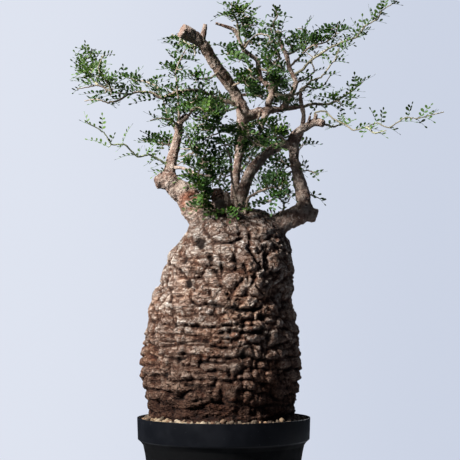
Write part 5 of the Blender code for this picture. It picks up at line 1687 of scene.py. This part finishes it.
twig_bark, tree, shader = new_finish("twig_bark")
youth_mark = marked(tree, "youth")
woody = apply_effect(tree, mottle, {
    "Ground": (0.300, 0.215, 0.165, 1), "Blotch": (0.150, 0.098, 0.075, 1), "Fleck": (0.46, 0.38, 0.31, 1),
    "Blotch Scale": 90.0, "Fleck Scale": 520.0, "Fleck Onset": 0.58,
})
feed(tree, shader.inputs["Base Color"], mixed(tree, youth_mark, woody["Color"], (0.400, 0.470, 0.280, 1)))
feed(tree, shader.inputs["Roughness"], ramped(tree, youth_mark, 0.0, 1.0, 0.82, 0.5))
ringed = apply_effect(tree, grain, {"Coarse Scale": 700.0, "Fine Scale": 1800.0, "Depth": 0.0004})
feed(tree, shader.inputs["Normal"], ringed["Normal"])

leaf_green, tree, shader = new_finish("glossy_leaflets")
leaf_colour = graded(
    tree, marked(tree, "tone"), (0.0, (0.007, 0.024, 0.011, 1)), (0.45, (0.011, 0.038, 0.013, 1)),
    (0.82, (0.028, 0.084, 0.012, 1)), (1.0, (0.075, 0.135, 0.016, 1)),
)
young = mixed(tree, marked(tree, "youth"), leaf_colour, (0.150, 0.260, 0.050, 1))
veined = apply_effect(tree, mottle, {
    "Ground": young, "Blotch": (0.030, 0.070, 0.015, 1), "Fleck": (0.09, 0.13, 0.03, 1),
    "Blotch Scale": 330.0, "Fleck Scale": 1500.0, "Fleck Onset": 0.64,
})
feed(tree, shader.inputs["Base Color"], mixed(tree, 0.25, young, veined["Color"]))
feed(tree, shader.inputs["Roughness"], ramped(tree, veined["Blotches"], 0.0, 1.0, 0.46, 0.58))
shader.inputs["Specular IOR Level"].default_value = 0.24
shader.inputs["Subsurface Weight"].default_value = 0.08
shader.inputs["Subsurface Radius"].default_value = (0.6, 1.0, 0.2)
shader.inputs["Subsurface Scale"].default_value = 0.0012

for number, name in enumerate(STEMS):
    draw = random.Random(100 + number)
    spacing, leaf_length, youth = DRESS.get(name, PLAIN_DRESS)
    stem = Growth("tone", "youth")
    line = add_twig(stem, *routes[name], youth, draw)
    if spacing:
        add_leaves(stem, line, spacing, leaf_length, youth, draw, FIRST_LEAF)
    place_leaves(stem, line, youth, PLACED_LEAVES.get(name, ()), draw)
    place_sprays(stem, line, youth, SPRAYS.get(name, ()), draw)
    leafy = stem.finished(f"leafy_stem_{name}", [twig_bark, leaf_green], sharp_over=50)
    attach(leafy, "root")
    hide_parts(f"stem_{name}")


# The stage is a plain pale table top under soft studio light: a lamp high at the front left, weak ones
# above and behind, and a pale backdrop that only the camera sees. The camera stands in front and looks up a
# little at the plant.
FLOOR_RADIUS = 0.85
BACKDROP_LEFT = (0.735, 0.775, 0.872, 1)
BACKDROP_RIGHT = (0.600, 0.652, 0.775, 1)
AMBIENT = (0.62, 0.74, 1.0, 1)
AMBIENT_STRENGTH = 0.056
TILT = math.radians(5.2)
LENS = 86.0
SENSOR = 36.0
AIM = Vector((0.0, 0.0, 0.385))

bpy.ops.mesh.primitive_circle_add(vertices=128, radius=FLOOR_RADIUS, fill_type="NGON")
table_top = bpy.context.object
table_top.name = "table_top"
pale, tree, shader = new_finish("pale_table_top")
shader.inputs["Base Color"].default_value = (0.42, 0.44, 0.48, 1)
shader.inputs["Roughness"].default_value = 0.8
table_top.data.materials.append(pale)

backdrop = bpy.data.worlds.new("backdrop")
bpy.context.scene.world = backdrop
backdrop.use_nodes = True
tree = backdrop.node_tree
tree.nodes.clear()
direction = put(tree, "ShaderNodeTexCoord").outputs["Generated"]
sideways = put(tree, "ShaderNodeSeparateXYZ", {"Vector": direction}).outputs["X"]
# The backdrop is painted lighter at the left, as the lamp's light falling on it.
backdrop_with_painted_light = mixed(tree, ramped(tree, sideways, -0.22, 0.22), BACKDROP_LEFT, BACKDROP_RIGHT)
shown = put(tree, "ShaderNodeBackground", {"Color": backdrop_with_painted_light, "Strength": 1.0}).outputs[0]
ambient = put(tree, "ShaderNodeBackground", {"Color": AMBIENT, "Strength": AMBIENT_STRENGTH}).outputs[0]
to_camera = put(tree, "ShaderNodeLightPath").outputs["Is Camera Ray"]
either = put(tree, "ShaderNodeMixShader", {0: to_camera, 1: ambient, 2: shown}).outputs[0]
feed(tree, put(tree, "ShaderNodeOutputWorld").inputs["Surface"], either)


def add_lamp(name, place, size, power, colour, spread):
    """A square soft lamp that is aimed at the plant, its light kept within an angle by a grid."""
    lamp = bpy.data.lights.new(name, "AREA")
    lamp.size = size
    lamp.spread = math.radians(spread)
    lamp.energy = power
    lamp.color = colour
    obj = bpy.data.objects.new(name, lamp)
    bpy.context.scene.collection.objects.link(obj)
    obj.location = place
    obj.rotation_euler = (AIM - Vector(place)).to_track_quat("-Z", "Y").to_euler()


add_lamp("key_lamp", LIGHT_FROM, size=0.40, power=2.9, colour=(1.0, 0.98, 0.96), spread=25)
add_lamp("top_lamp", (-0.30, 0.20, 1.90), size=0.8, power=1.3, colour=(0.95, 0.98, 1.0), spread=50)
add_lamp("back_lamp", (0.80, 1.50, 0.90), size=0.6, power=0.6, colour=(0.95, 0.97, 1.0), spread=60)

view = bpy.data.cameras.new("portrait")
camera = bpy.data.objects.new("portrait", view)
bpy.context.scene.collection.objects.link(camera)
camera.location = EYE
camera.rotation_euler = (math.radians(90) + TILT, 0, 0)
view.lens = LENS
view.sensor_width = SENSOR
bpy.context.scene.camera = camera
bpy.context.scene.view_settings.view_transform = "Standard"
